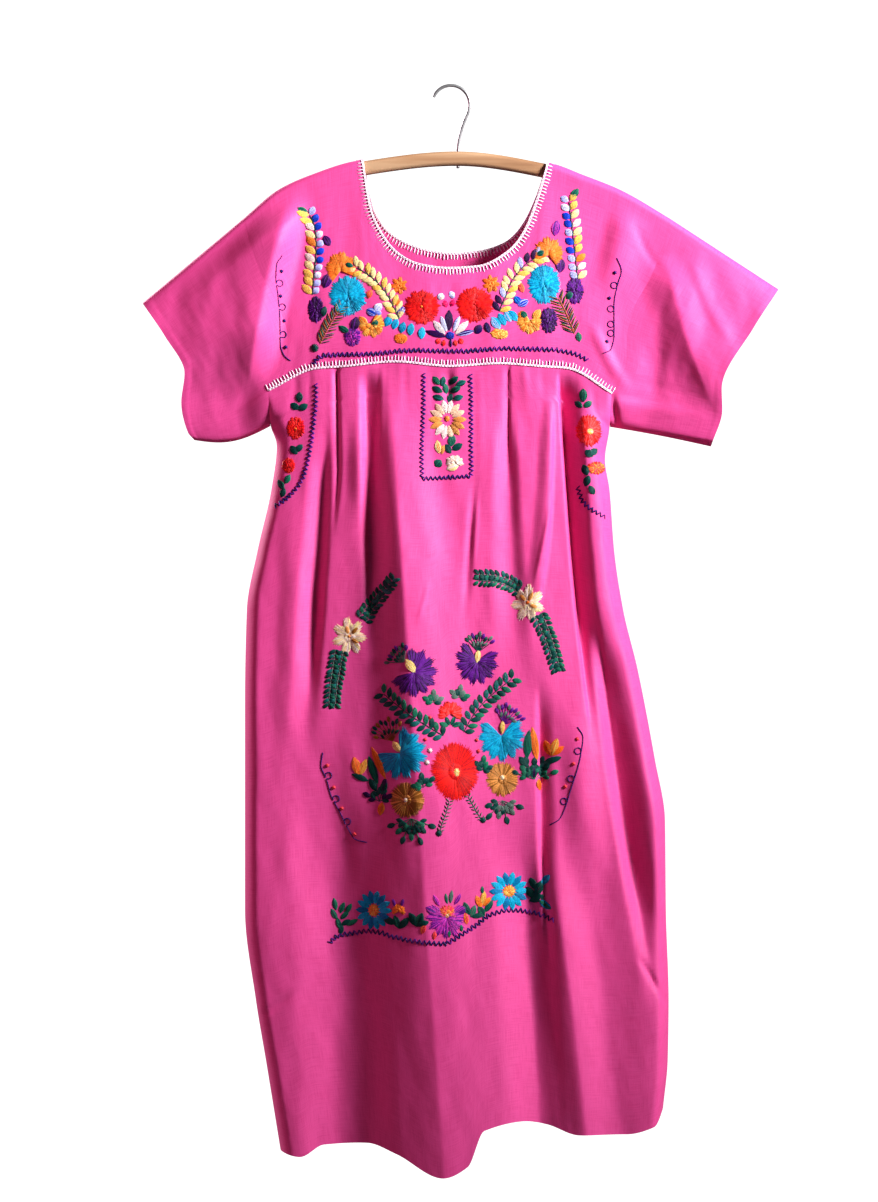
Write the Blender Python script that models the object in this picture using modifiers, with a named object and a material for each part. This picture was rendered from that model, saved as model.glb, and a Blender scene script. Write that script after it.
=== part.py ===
"""Loose cotton dress hanging on a wooden clothes hanger.

A yoke lies over the shoulders, a short wide sleeve is set in at each side, and a front
and a back skirt panel are pleated onto the yoke. A bent wooden bar inside the shoulders
carries the cloth, and a wire hook carries the bar.

The origin is under the top of the hook, where a rod would hold it. +Z is up, the front
faces -Y, and left is -X. The tables below are in millimetres. "down" is the distance
below the origin.
"""
import math

import bmesh
import bpy
import numpy as np

MM = 0.001

# Cloth: wall thickness, and how far each panel stops short of its seam line
WALL = 1.2
SEAM = 0.3
UNDERARM_SEAM = 1.3

# Hanger bar: a flat bar with round edges, bent along the shoulder line
BAR_LEFT = -176
BAR_RIGHT = 176
BAR_THICK = 10
BAR_TALL = 16
BAR_CLEAR = 0.8
BAR_SIDES = 16
BAR_STATIONS = 22

# Hook: a round wire, an arc at the top and a stem with a soft bend
WIRE_RADIUS = 1.75
HOOK_RADIUS = 20.5
HOOK_CENTRE_X = 1
HOOK_TIP_ANGLE = 158
HOOK_END_ANGLE = -20
HOOK_ARC_POINTS = 14
HOOK_STEM_POINTS = 12
STEM_PAST_BAR = 2.5
HOLE_CLEAR = 0.3
HOLE_SIDES = 16
STEM = (  # down, x
    (27, 20.2),
    (34, 17.4),
    (42, 14.2),
    (53, 11),
    (62, 9.3),
    (72, 8.8),
    (100, 8.8),
)

# Shoulder line from cuff to cuff, seen from the front
SHOULDER = (  # x, down
    (-338, 238),
    (-309, 212),
    (-266, 179),
    (-228, 146),
    (-188, 113),
    (-153, 97),
    (-103, 81.5),
    (7, 69.5),
    (112, 84.5),
    (146, 97),
    (186, 113),
    (243, 146),
    (295, 179),
    (348, 212),
    (361, 223),
)
SHOULDER_CENTRE = 7
RIDGE_ON_BAR = 7.5
RIDGE_AT_CUFF = 4.5
RIDGE_EASE_FROM = 185
RIDGE_EASE_OVER = 120
RIDGE_ANGLES = (0, 30, 60, 90)

# Neck hole, front and back
NECK_LEFT = -96
NECK_RIGHT = 107
NECK_LENGTH = 370
FRONT_NECK = (  # x, down, between the two shoulder points
    (-87, 134),
    (-76, 160),
    (-58, 183),
    (-33, 196),
    (-3, 200),
    (31, 198),
    (64, 181),
    (81, 160),
    (96, 122),
)
BACK_NECK = (  # x, down
    (-84, 134),
    (-70, 158),
    (-49, 173),
    (-26, 182),
    (3, 186),
    (35, 183),
    (61, 173),
    (79, 153),
    (95, 120),
)

# Lower edge of the yoke, where the skirt is sewn on
YOKE_EDGE = (  # x, down
    (-199, 336),
    (-146, 312),
    (-116, 310),
    (-60, 305),
    (0, 310),
    (55, 307),
    (99, 310),
    (128, 312),
    (177, 339),
)

# Armhole seams of the yoke
ARMHOLE_LEFT = (  # down, x
    (146, -228),
    (202, -209),
    (249, -185),
    (278, -178),
    (300, -180),
    (323, -189),
    (336, -199),
)
ARMHOLE_RIGHT = (  # down, x
    (146, 243),
    (202, 224),
    (249, 200),
    (278, 194),
    (300, 194),
    (323, 186),
    (339, 177),
)

# Sides of the skirt, from the ends of the yoke edge to the hem
SIDE_LEFT = (  # down, x
    (336, -199),
    (371, -197),
    (394, -190),
    (443, -196),
    (509, -211),
    (575, -223),
    (674, -225),
    (905, -225),
    (1004, -213),
    (1070, -202),
    (1168, -186),
)
SIDE_RIGHT = (  # down, x
    (339, 177),
    (375, 175),
    (410, 170),
    (443, 175),
    (509, 180),
    (575, 190),
    (641, 206),
    (740, 225),
    (806, 236),
    (905, 237),
    (1004, 240),
    (1070, 239),
    (1121, 234),
)
FRONT_HEM = (  # x, down
    (-186, 1168),
    (-164, 1173),
    (-138, 1160),
    (-90, 1158),
    (-59, 1168),
    (-8, 1193),
    (19, 1181),
    (37, 1142),
    (80, 1133),
    (106, 1137),
    (141, 1148),
    (192, 1148),
    (223, 1140),
    (234, 1121),
)
BACK_HEM = (  # x, down
    (-186, 1168),
    (-110, 1150),
    (20, 1138),
    (140, 1136),
    (234, 1121),
)

# How far the cloth stands from the middle plane
YOKE_SAG = {"front": 22, "back": 15}
YOKE_SAG_EDGE = 9
YOKE_SAG_OVER = 230
YOKE_HALF_WIDTH = 215
SKIRT_MIDDLE = {  # down, depth
    "front": ((305, 31), (450, 41), (700, 48), (1000, 52), (1195, 54)),
    "back": ((305, 24), (450, 31), (700, 37), (1000, 40), (1195, 41)),
}
SKIRT_EDGE = {  # down, depth
    "front": ((305, 16), (450, 22), (700, 26), (1195, 28)),
    "back": ((305, 16), (450, 20), (700, 23), (1195, 24)),
}
SIDE_ROUND = 24
YOKE_TO_SKIRT = 90

# Folds. x_top, x_mid and x_low are the fold's place at its start, middle and end; left
# and right are the widths of its flanks at the start, and grow is their widening to the
# end; depth is how far it stands out, or in when it is negative.
FOLD_COLUMNS = "start end x_top x_mid x_low left right grow fade_in fade_out depth".split()
FRONT_FOLDS = (
    # Pleats under the yoke
    (311, 640, -124, -134, -150, 12, 8, 1.6, 0.06, 0.40, -8),
    (306, 760, -66, -70, -101, 24, 7, 1.5, 0.05, 0.30, -16),
    (309, 350, -2, -2, -3, 9, 9, 1.0, 0.30, 0.50, -3),
    (308, 370, 65, 64, 63, 10, 7, 1.2, 0.25, 0.45, -6),
    (312, 700, 120, 133, 178, 7, 22, 1.6, 0.05, 0.35, -17),
    # Folds that fall from them
    (350, 500, -89, -90, -94, 16, 14, 1.3, 0.40, 0.50, 6),
    (370, 520, 60, 56, 52, 10, 12, 1.4, 0.30, 0.45, 6),
    (372, 540, 86, 84, 82, 10, 9, 1.3, 0.35, 0.45, -5),
    (420, 640, 30, 30, 32, 9, 9, 1.3, 0.35, 0.45, -6),
    (430, 800, -155, -158, -166, 18, 20, 1.5, 0.35, 0.45, 7),
    (400, 1230, -10, 2, 20, 34, 40, 1.1, 0.20, 0.02, 15),
    (600, 1010, 176, 206, 216, 24, 20, 1.0, 0.30, 0.35, -11),
    (640, 900, 146, 158, 166, 26, 26, 1.3, 0.40, 0.45, 8),
    # Lower skirt
    (800, 1230, -70, -62, -52, 46, 40, 1.1, 0.35, 0.02, -13),
    (860, 1230, -148, -150, -150, 26, 24, 1.1, 0.45, 0.05, 6),
    (840, 1230, 104, 124, 142, 26, 20, 1.1, 0.35, 0.05, -11),
    (860, 1230, 168, 172, 176, 22, 20, 1.1, 0.40, 0.05, 6),
)
BACK_FOLDS = (
    (308, 620, -120, -124, -130, 14, 12, 1.6, 0.08, 0.45, -7),
    (306, 700, -52, -56, -64, 16, 16, 1.6, 0.06, 0.40, -9),
    (306, 640, 26, 28, 34, 14, 14, 1.6, 0.06, 0.45, -7),
    (308, 720, 96, 104, 118, 16, 14, 1.7, 0.06, 0.40, -9),
    (640, 1220, -96, -104, -110, 42, 40, 1.2, 0.40, 0.05, -11),
    (560, 1220, -10, -4, 4, 46, 44, 1.2, 0.35, 0.05, 9),
    (660, 1220, 92, 98, 100, 36, 38, 1.2, 0.40, 0.05, -10),
)
SHOULDER_FOLDS = {
    "front": (
        (118, 330, -172, -196, -222, 24, 26, 1.4, 0.40, 0.35, 7),
        (214, 350, 244, 252, 288, 9, 9, 2.4, 0.30, 0.35, -8),
        (236, 372, 304, 280, 246, 16, 16, 1.2, 0.40, 0.40, 6),
        (118, 250, 176, 184, 190, 16, 16, 1.5, 0.45, 0.45, 4),
    ),
    "back": (
        (118, 330, -172, -194, -220, 24, 24, 1.4, 0.40, 0.35, 6),
        (118, 330, 180, 204, 236, 24, 24, 1.4, 0.40, 0.35, 6),
    ),
}
SHOULDER_FOLD_EASE = 45
BOTTOM_FOLD_EASE = 0.22

# Sleeves: the cuff from its top to its bottom, and how the lower edge hangs
CUFF_LEFT = (  # share of the way down, x, down
    (0, -338, 238),
    (0.26, -312, 276),
    (0.48, -291, 315),
    (0.68, -295, 348),
    (0.90, -288, 380),
    (1, -281, 388),
)
CUFF_RIGHT = (  # share of the way down, x, down
    (0, 361, 223),
    (0.29, 332, 267),
    (0.66, 298, 332),
    (0.80, 299, 356),
    (1, 287, 395),
)
CUFF_DEPTH = {"front": 21, "back": 19}
CUFF_START = 0.85
CUFF_FULLNESS = 0.7
SLEEVE_DROOP = {"left": 9, "right": -1}

# Rows and columns of the panels
ARMHOLE_SHARE = 0.044
SKIRT_ROWS = (0, 0.015, 0.030, 0.044, 0.066, 0.095, 0.13, 0.175, 0.225, 0.28, 0.34,
              0.41, 0.49, 0.57, 0.65, 0.73, 0.81, 0.88, 0.94, 1)
SKIRT_COLUMNS = {"front": 53, "back": 35}
YOKE_ROWS = 6
SHOULDER_COLUMNS = 7
NECK_COLUMNS = 20
SLEEVE_RINGS = 8
FINE = 600

FRONT = "front"
BACK = "back"


def mix(first, second, share):
    return first + (second - first) * share


def ease(share):
    """Soft step from 0 to 1."""
    held = np.clip(share, 0, 1)
    return held * held * (3 - 2 * held)


def through(rows, at):
    """Smooth line through the rows (place, value), with no overshoot between them."""
    place, value = np.array(rows, dtype=float).T
    rise = np.diff(value) / np.diff(place)
    before, after = rise[:-1], rise[1:]
    same_way = before * after > 0
    total = np.where(same_way, before + after, 1)
    inner = np.where(same_way, 2 * before * after / total, 0)
    slope = np.concatenate([rise[:1], inner, rise[-1:]])
    first = np.clip(np.searchsorted(place, at) - 1, 0, len(place) - 2)
    span = place[first + 1] - place[first]
    q = np.clip((at - place[first]) / span, 0, 1)
    start = (2 * q**3 - 3 * q**2 + 1) * value[first]
    leave = (q**3 - 2 * q**2 + q) * span * slope[first]
    end = (3 * q**2 - 2 * q**3) * value[first + 1]
    arrive = (q**3 - q**2) * span * slope[first + 1]
    return start + leave + end + arrive


def relief(folds, x, down):
    """How far the folds of a table lift the cloth at each point."""
    total = np.zeros(np.broadcast(x, down).shape)
    for row in folds:
        fold = dict(zip(FOLD_COLUMNS, row))
        along = (down - fold["start"]) / (fold["end"] - fold["start"])
        inside = (along > 0) & (along < 1)
        q = np.clip(along, 0, 1)
        halves = ((0, fold["x_top"]), (0.5, fold["x_mid"]), (1, fold["x_low"]))
        away = x - through(halves, q)
        flank = np.where(away < 0, fold["left"], fold["right"]) * mix(1, fold["grow"], q)
        bell = 0.5 + 0.5 * np.cos(math.pi * np.clip(np.abs(away) / flank, 0, 1))
        fade = ease(q / fold["fade_in"]) * ease((1 - q) / fold["fade_out"])
        total += np.where(inside, fold["depth"] * bell * fade, 0)
    return total


def ridge_radius(x):
    """Radius of the turn over the shoulder: round the bar, then tighter to the cuff."""
    past_bar = np.abs(x - SHOULDER_CENTRE) - RIDGE_EASE_FROM
    return mix(RIDGE_ON_BAR, RIDGE_AT_CUFF, ease(past_bar / RIDGE_EASE_OVER))


def yoke_depth(x, down, face):
    """Distance of the yoke's cloth from the middle plane."""
    below = np.maximum(down - through(SHOULDER, x), 0)
    radius = ridge_radius(x)
    turn = np.sqrt(radius**2 - (radius - np.minimum(below, radius)) ** 2)
    across = np.clip(np.abs(x - SHOULDER_CENTRE) / YOKE_HALF_WIDTH, 0, 1)
    sag = mix(YOKE_SAG[face], YOKE_SAG_EDGE, across**2) * ease(below / YOKE_SAG_OVER)
    lift = relief(SHOULDER_FOLDS[face], x, down) * ease(below / SHOULDER_FOLD_EASE)
    return turn + sag + lift


def outward(face):
    """Sign of Y on this face of the dress."""
    return -1 if face == FRONT else 1


def yoke_top(share_left, share_neck, share_right, face):
    """Points (x, down) of the yoke's upper edge: left shoulder, neck, right shoulder."""
    left_x = mix(ARMHOLE_LEFT[0][1], NECK_LEFT, share_left)
    right_x = mix(NECK_RIGHT, ARMHOLE_RIGHT[0][1], share_right)
    left_end = (NECK_LEFT, float(through(SHOULDER, NECK_LEFT)))
    right_end = (NECK_RIGHT, float(through(SHOULDER, NECK_RIGHT)))
    middle = FRONT_NECK if face == FRONT else BACK_NECK
    neck = np.array((left_end, *middle, right_end))
    steps = np.hypot(*np.diff(neck, axis=0).T)
    length = np.concatenate([[0], np.cumsum(steps)])
    at = share_neck * length[-1]
    neck_x = through(np.stack([length, neck[:, 0]], axis=1), at)
    neck_down = through(np.stack([length, neck[:, 1]], axis=1), at)
    x = np.concatenate([left_x, neck_x, right_x])
    down = np.concatenate([through(SHOULDER, left_x), neck_down, through(SHOULDER, right_x)])
    return x, down


def yoke_rows(top_x, top_down, low_down, rows):
    """Heights of the yoke's rows: close together over the ridge, then even."""
    radius = ridge_radius(top_x)
    ridge = [top_down + radius * (1 - math.cos(math.radians(a))) for a in RIDGE_ANGLES]
    even = [mix(ridge[-1], low_down, (k + 1) / rows) for k in range(rows)]
    return np.stack(ridge + even)


def neck_shares():
    """Shares of the neck edge: close together where it turns over the bar, then even."""
    turn = [RIDGE_ON_BAR * (1 - math.cos(math.radians(a))) for a in RIDGE_ANGLES]
    first = np.array(turn) / NECK_LENGTH
    even = np.linspace(first[-1], 1 - first[-1], NECK_COLUMNS + 1)[1:-1]
    return np.concatenate([first, even, 1 - first[::-1]])


def yoke_grid(face):
    """Points of one face of the yoke, row by row from the shoulder down."""
    share_left = np.arange(SHOULDER_COLUMNS) / SHOULDER_COLUMNS
    share_neck = neck_shares()
    share_right = np.arange(1, SHOULDER_COLUMNS + 1) / SHOULDER_COLUMNS
    top_x, top_down = yoke_top(share_left, share_neck, share_right, face)
    low_x = np.linspace(YOKE_EDGE[0][0], YOKE_EDGE[-1][0], len(top_x))
    down = yoke_rows(top_x, top_down, through(YOKE_EDGE, low_x), YOKE_ROWS)
    share = (down - top_down) / (down[-1] - top_down)
    x = mix(top_x, low_x, share)
    for side, column, order in ((ARMHOLE_LEFT, 0, 1), (ARMHOLE_RIGHT, -1, -1)):
        curve = through(side, down[:, column]) - x[:, column]
        near = np.zeros(len(top_x))
        near[::order][:SHOULDER_COLUMNS] = (1 - share_left) ** 2
        x = x + curve[:, None] * near
    y = outward(face) * yoke_depth(x, down, face)
    x[:, 0] += SEAM
    x[:, -1] -= SEAM
    down[-1] -= SEAM
    return np.stack([x, y, -down], axis=-1)


def skirt_points(share, row, face):
    """Points of a skirt panel: share runs from the left side to the right, row down."""
    hem = FRONT_HEM if face == FRONT else BACK_HEM
    left_down = mix(SIDE_LEFT[0][0], SIDE_LEFT[-1][0], row)
    right_down = mix(SIDE_RIGHT[0][0], SIDE_RIGHT[-1][0], row)
    left = through(SIDE_LEFT, left_down)
    right = through(SIDE_RIGHT, right_down)
    x = mix(left, right, share)
    top_x = mix(YOKE_EDGE[0][0], YOKE_EDGE[-1][0], share)
    hem_x = mix(hem[0][0], hem[-1][0], share)
    top_down = through(YOKE_EDGE, top_x)
    down = mix(top_down, through(hem, hem_x), row)

    middle = 1 - (2 * share - 1) ** 2
    full = mix(through(SKIRT_EDGE[face], down), through(SKIRT_MIDDLE[face], down), middle)
    seam_depth = yoke_depth(top_x, top_down, face)
    leaving = ease((down - top_down) / YOKE_TO_SKIRT)
    folds = FRONT_FOLDS if face == FRONT else BACK_FOLDS
    full = mix(seam_depth, full, leaving) + relief(folds, x, down)

    edge_x = np.where(share < 0.5, YOKE_EDGE[0][0], YOKE_EDGE[-1][0])
    edge_down = np.where(share < 0.5, YOKE_EDGE[0][1], YOKE_EDGE[-1][1])
    above_arm = np.sqrt(np.maximum(1 - (row / ARMHOLE_SHARE) ** 2, 0))
    edge = yoke_depth(edge_x, edge_down, face) * above_arm
    round_in = mix(1, SIDE_ROUND, ease(row / ARMHOLE_SHARE))
    inset = np.minimum(np.minimum(x - left, right - x) / round_in, 1)
    turn = np.sqrt(np.maximum(1 - (1 - inset) ** 2, 0))
    y = outward(face) * mix(edge, full, turn)
    return np.stack(np.broadcast_arrays(x, y, -down), axis=-1)


def even_shares(row, count, face):
    """Shares that put a row's points at even steps along the cloth, folds and all."""
    share = np.linspace(0, 1, FINE)
    steps = np.linalg.norm(np.diff(skirt_points(share, row, face), axis=0), axis=1)
    length = np.concatenate([[0], np.cumsum(steps)])
    return np.interp(np.linspace(0, length[-1], count), length, share)


def skirt_grid(face):
    """Points of one skirt panel, row by row from the yoke edge to the hem."""
    count = SKIRT_COLUMNS[face]
    rows = [skirt_points(even_shares(row, count, face), row, face) for row in SKIRT_ROWS]
    grid = np.stack(rows)
    grid[0, :, 2] -= SEAM
    below_arm = np.array(SKIRT_ROWS) >= ARMHOLE_SHARE
    for column, inward in ((0, 1), (-1, -1)):
        grid[below_arm, column, 1] = outward(face) * SEAM
        grid[~below_arm, column, 0] += inward * SEAM
    return grid


def armhole_path(side, face):
    """The armhole from the shoulder down to the underarm, along yoke and skirt."""
    table, share = (ARMHOLE_LEFT, 0) if side == "left" else (ARMHOLE_RIGHT, 1)
    top = np.array([float(table[0][1])])
    down = yoke_rows(top, through(SHOULDER, top), np.array([table[-1][0]]), YOKE_ROWS)[:, 0]
    x = through(table, down)
    y = outward(face) * yoke_depth(x, down, face)
    on_yoke = np.stack([x, y, -down], axis=-1)
    lower = [row for row in SKIRT_ROWS if 0 < row <= ARMHOLE_SHARE]
    on_skirt = [skirt_points(np.array([float(share)]), row, face)[0] for row in lower]
    return np.concatenate([on_yoke, np.array(on_skirt)])


def sleeve_face(side, face):
    """Points of one face of a sleeve, ring by ring from the armhole to the cuff."""
    away = -1 if side == "left" else 1
    armhole = armhole_path(side, face)
    steps = np.linalg.norm(np.diff(armhole, axis=0), axis=1)
    share = np.concatenate([[0], np.cumsum(steps)]) / steps.sum()
    armhole[:, 0] += away * mix(SEAM, UNDERARM_SEAM, share**6)
    table = np.array(CUFF_LEFT if side == "left" else CUFF_RIGHT)
    cuff_x = through(table[:, (0, 1)], share)
    cuff_down = through(table[:, (0, 2)], share)
    lens = np.sin(math.pi * share**CUFF_START)
    cuff_y = outward(face) * CUFF_DEPTH[face] * np.maximum(lens, 0) ** CUFF_FULLNESS
    cuff = np.stack([cuff_x, cuff_y, -cuff_down], axis=-1)
    rings = []
    for ring in range(SLEEVE_RINGS + 1):
        out = ring / SLEEVE_RINGS
        points = mix(armhole, cuff, out)
        points[:, 2] -= SLEEVE_DROOP[side] * math.sin(math.pi * out) * share**2
        x, down = points[:, 0], -points[:, 2]
        below = down - through(SHOULDER, x)
        near_edges = ease(below / SHOULDER_FOLD_EASE) * ease((1 - share) / BOTTOM_FOLD_EASE)
        lift = relief(SHOULDER_FOLDS[face], x, down) * near_edges
        points[:, 1] += outward(face) * lift * ease(out * SLEEVE_RINGS / 2)
        rings.append(points)
    return np.stack(rings)


def sleeve_grid(side):
    """Both faces of a sleeve joined at the shoulder fold and under the arm."""
    front = sleeve_face(side, FRONT)
    back = sleeve_face(side, BACK)
    ridge = (front[:, :1] + back[:, :1]) / 2
    bottom = (front[:, -1:] + back[:, -1:]) / 2
    around = [ridge, front[:, 1:-1], bottom, back[:, -2:0:-1], ridge]
    return np.concatenate(around, axis=1)


def add_sheet(bm, points):
    """A grid laid on rows and columns of points, in metres."""
    rows, columns = points.shape[:2]
    made = bmesh.ops.create_grid(bm, x_segments=columns - 1, y_segments=rows - 1, size=0.5)
    for vert in made["verts"]:
        column = round((vert.co.x + 0.5) * (columns - 1))
        row = round((0.5 - vert.co.y) * (rows - 1))
        vert.co = points[row, column] * MM
    return made["verts"]


def material(name, color, roughness, metallic=0.0):
    made = bpy.data.materials.new(name)
    made.use_nodes = True
    shader = made.node_tree.nodes["Principled BSDF"]
    shader.inputs["Base Color"].default_value = (*color, 1)
    shader.inputs["Roughness"].default_value = roughness
    shader.inputs["Metallic"].default_value = metallic
    return made


def link(obj, collection, finish=None):
    collection.objects.link(obj)
    if finish:
        obj.data.materials.append(finish)
    return obj


def cloth_piece(name, sheets, collection, finish):
    """A sewn piece: open sheets merged along their shared edge, with the cloth's wall."""
    bm = bmesh.new()
    for points, turned in sheets:
        verts = add_sheet(bm, points)
        if turned:
            faces = {face for vert in verts for face in vert.link_faces}
            bmesh.ops.reverse_faces(bm, faces=list(faces))
    bmesh.ops.remove_doubles(bm, verts=bm.verts[:], dist=0.01 * MM)
    mesh = bpy.data.meshes.new(name)
    bm.to_mesh(mesh)
    bm.free()
    obj = link(bpy.data.objects.new(name, mesh), collection, finish)
    wall = obj.modifiers.new("Wall", "SOLIDIFY")
    wall.thickness = WALL * MM
    wall.offset = 0
    return obj


def bar_top(x):
    """Top of the hanger bar, just under the cloth."""
    return -through(SHOULDER, x) - WALL / 2 - BAR_CLEAR


def build_bar(collection, cutters, finish):
    """The bar: a round rod stretched to its height, cut into stations and bent."""
    length = BAR_RIGHT - BAR_LEFT
    bm = bmesh.new()
    bmesh.ops.create_cone(bm, cap_ends=True, segments=BAR_SIDES,
                          radius1=BAR_THICK / 2, radius2=BAR_THICK / 2, depth=length)
    for station in range(1, BAR_STATIONS):
        at = mix(-length / 2, length / 2, station / BAR_STATIONS)
        everything = bm.verts[:] + bm.edges[:] + bm.faces[:]
        bmesh.ops.bisect_plane(bm, geom=everything, plane_co=(0, 0, at), plane_no=(0, 0, 1))
    straight = (BAR_TALL - BAR_THICK) / 2
    for vert in bm.verts:
        along, side, up = -vert.co.z, vert.co.y, vert.co.x
        up += math.copysign(straight, up) if abs(up) > 0.01 else 0
        x = (BAR_LEFT + BAR_RIGHT) / 2 + along
        vert.co = (x, side, float(bar_top(x)) - BAR_TALL / 2 + up)
        vert.co *= MM
    mesh = bpy.data.meshes.new("hanger_bar")
    bm.to_mesh(mesh)
    bm.free()
    bar = link(bpy.data.objects.new("hanger_bar", mesh), collection, finish)
    stem_x = STEM[-1][1]
    bpy.ops.mesh.primitive_cylinder_add(
        vertices=HOLE_SIDES, radius=(WIRE_RADIUS + HOLE_CLEAR) * MM, depth=4 * BAR_TALL * MM,
        location=(stem_x * MM, 0, float(bar_top(stem_x)) * MM))
    hole = bpy.context.object
    hole.name = "hook_hole_cutter"
    bpy.context.collection.objects.unlink(hole)
    cutters.objects.link(hole)
    hole.hide_render = True
    hole.display_type = "WIRE"
    drill = bar.modifiers.new("Hook hole", "BOOLEAN")
    drill.operation = "DIFFERENCE"
    drill.object = hole
    return bar


def build_hook(collection, finish):
    """The hook: an arc round the rod it hangs on, then the stem down through the bar."""
    centre_z = WIRE_RADIUS - HOOK_RADIUS
    route = []
    for k in range(HOOK_ARC_POINTS):
        angle = math.radians(mix(HOOK_TIP_ANGLE, HOOK_END_ANGLE, k / (HOOK_ARC_POINTS - 1)))
        route.append((HOOK_CENTRE_X + HOOK_RADIUS * math.cos(angle),
                      centre_z + HOOK_RADIUS * math.sin(angle)))
    stem_x = STEM[-1][1]
    stem_end = -float(bar_top(stem_x)) + BAR_TALL + STEM_PAST_BAR
    for k in range(1, HOOK_STEM_POINTS + 1):
        down = mix(-route[HOOK_ARC_POINTS - 1][1], stem_end, k / HOOK_STEM_POINTS)
        route.append((float(through(STEM, down)), -down))
    curve = bpy.data.curves.new("hanger_hook", "CURVE")
    curve.dimensions = "3D"
    curve.bevel_depth = WIRE_RADIUS * MM
    curve.bevel_resolution = 2
    curve.use_fill_caps = True
    spline = curve.splines.new("POLY")
    spline.points.add(len(route) - 1)
    for point, (x, z) in zip(spline.points, route):
        point.co = (x * MM, 0, z * MM, 1)
    return link(bpy.data.objects.new("hanger_hook", curve), collection, finish)


for old in list(bpy.data.objects):
    bpy.data.objects.remove(old)
dress = bpy.data.collections.new("mexican_dress_on_hanger")
bpy.context.scene.collection.children.link(dress)
cutters = bpy.data.collections.new("cutters")
bpy.context.scene.collection.children.link(cutters)

cotton = material("pink_cotton", (0.83, 0.06, 0.36), 0.85)
wood = material("hanger_wood", (0.44, 0.23, 0.11), 0.5)
chrome = material("hook_wire", (0.62, 0.62, 0.62), 0.25, 1.0)

cloth_piece("yoke", ((yoke_grid(FRONT), False), (yoke_grid(BACK), True)), dress, cotton)
cloth_piece("sleeve_left", ((sleeve_grid("left"), False),), dress, cotton)
cloth_piece("sleeve_right", ((sleeve_grid("right"), False),), dress, cotton)
cloth_piece("skirt_front", ((skirt_grid(FRONT), False),), dress, cotton)
cloth_piece("skirt_back", ((skirt_grid(BACK), True),), dress, cotton)
build_bar(dress, cutters, wood)
build_hook(dress, chrome)
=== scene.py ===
"""Looks of the pink embroidered cotton dress on its wooden hanger.

Tables are in millimetres in the part's own frame: x to the right, and "down" below the
origin, which lies under the top of the hook. They become metres when a mesh is made. The
floor and the lights are placed in metres.
"""
import math
import random

import bmesh
import bpy
import numpy as np
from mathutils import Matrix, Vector
from mathutils.bvhtree import BVHTree


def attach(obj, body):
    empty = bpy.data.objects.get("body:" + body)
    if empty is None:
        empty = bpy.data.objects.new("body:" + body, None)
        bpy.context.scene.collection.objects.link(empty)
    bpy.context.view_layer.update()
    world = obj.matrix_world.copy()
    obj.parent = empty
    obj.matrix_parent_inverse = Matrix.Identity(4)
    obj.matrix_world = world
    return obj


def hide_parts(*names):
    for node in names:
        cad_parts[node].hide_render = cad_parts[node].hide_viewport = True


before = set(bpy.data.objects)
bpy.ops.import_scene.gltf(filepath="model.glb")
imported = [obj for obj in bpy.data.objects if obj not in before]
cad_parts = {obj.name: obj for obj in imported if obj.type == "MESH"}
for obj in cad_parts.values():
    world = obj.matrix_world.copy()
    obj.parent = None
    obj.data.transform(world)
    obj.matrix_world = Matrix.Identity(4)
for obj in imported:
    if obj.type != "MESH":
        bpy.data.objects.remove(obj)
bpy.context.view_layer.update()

# Hanger bar
# A flat strip of light brown wood with round edges, bent along the shoulder line and
# varnished. It carries the dress inside both shoulders.
MM = 0.001
SHOULDER = (  # x, down, from cuff to cuff
    (-338, 238), (-309, 212), (-266, 179), (-228, 146), (-188, 113), (-153, 97), (-103, 81.5),
    (7, 69.5), (112, 84.5), (146, 97), (186, 113), (243, 146), (295, 179), (348, 212),
    (361, 223),
)
BAR_LEFT, BAR_RIGHT = -176, 176
BAR_THICK, BAR_TALL = 10, 16
BAR_BELOW_SHOULDER = 1.4
BAR_SIDES, BAR_STATIONS = 40, 90
BAR_END_ROUND, BAR_END_SIZE = 6, 0.55  # length that is rounded, share left at its end
BAR_MIDDLE = 0.01  # corners this near to mid height stay there


def mix(first, second, share):
    return first + (second - first) * share


def ease(share):
    """Soft step from 0 to 1."""
    held = np.clip(share, 0, 1)
    return held * held * (3 - 2 * held)


def through(rows, at):
    """Smooth line through the rows (place, value), with no overshoot between them."""
    place, value = np.array(rows, dtype=float).T
    rise = np.diff(value) / np.diff(place)
    before, after = rise[:-1], rise[1:]
    same_way = before * after > 0
    total = np.where(same_way, before + after, 1)
    inner = np.where(same_way, 2 * before * after / total, 0)
    slope = np.concatenate([rise[:1], inner, rise[-1:]])
    first = np.clip(np.searchsorted(place, at) - 1, 0, len(place) - 2)
    span = place[first + 1] - place[first]
    q = np.clip((at - place[first]) / span, 0, 1)
    start = (2 * q**3 - 3 * q**2 + 1) * value[first]
    leave = (q**3 - 2 * q**2 + q) * span * slope[first]
    end = (3 * q**2 - 2 * q**3) * value[first + 1]
    arrive = (q**3 - q**2) * span * slope[first + 1]
    return start + leave + end + arrive


def new_material(name, color, roughness, finish=None):
    """A named material and its node tree, shader and Object coordinates."""
    made = bpy.data.materials.new(name)
    made.use_nodes = True
    nodes = made.node_tree.nodes
    shader = nodes["Principled BSDF"]
    settings = {"Base Color": (*color, 1), "Roughness": roughness, **(finish or {})}
    for socket, value in settings.items():
        shader.inputs[socket].default_value = value
    return made, made.node_tree, shader, nodes.new("ShaderNodeTexCoord").outputs["Object"]


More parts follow.
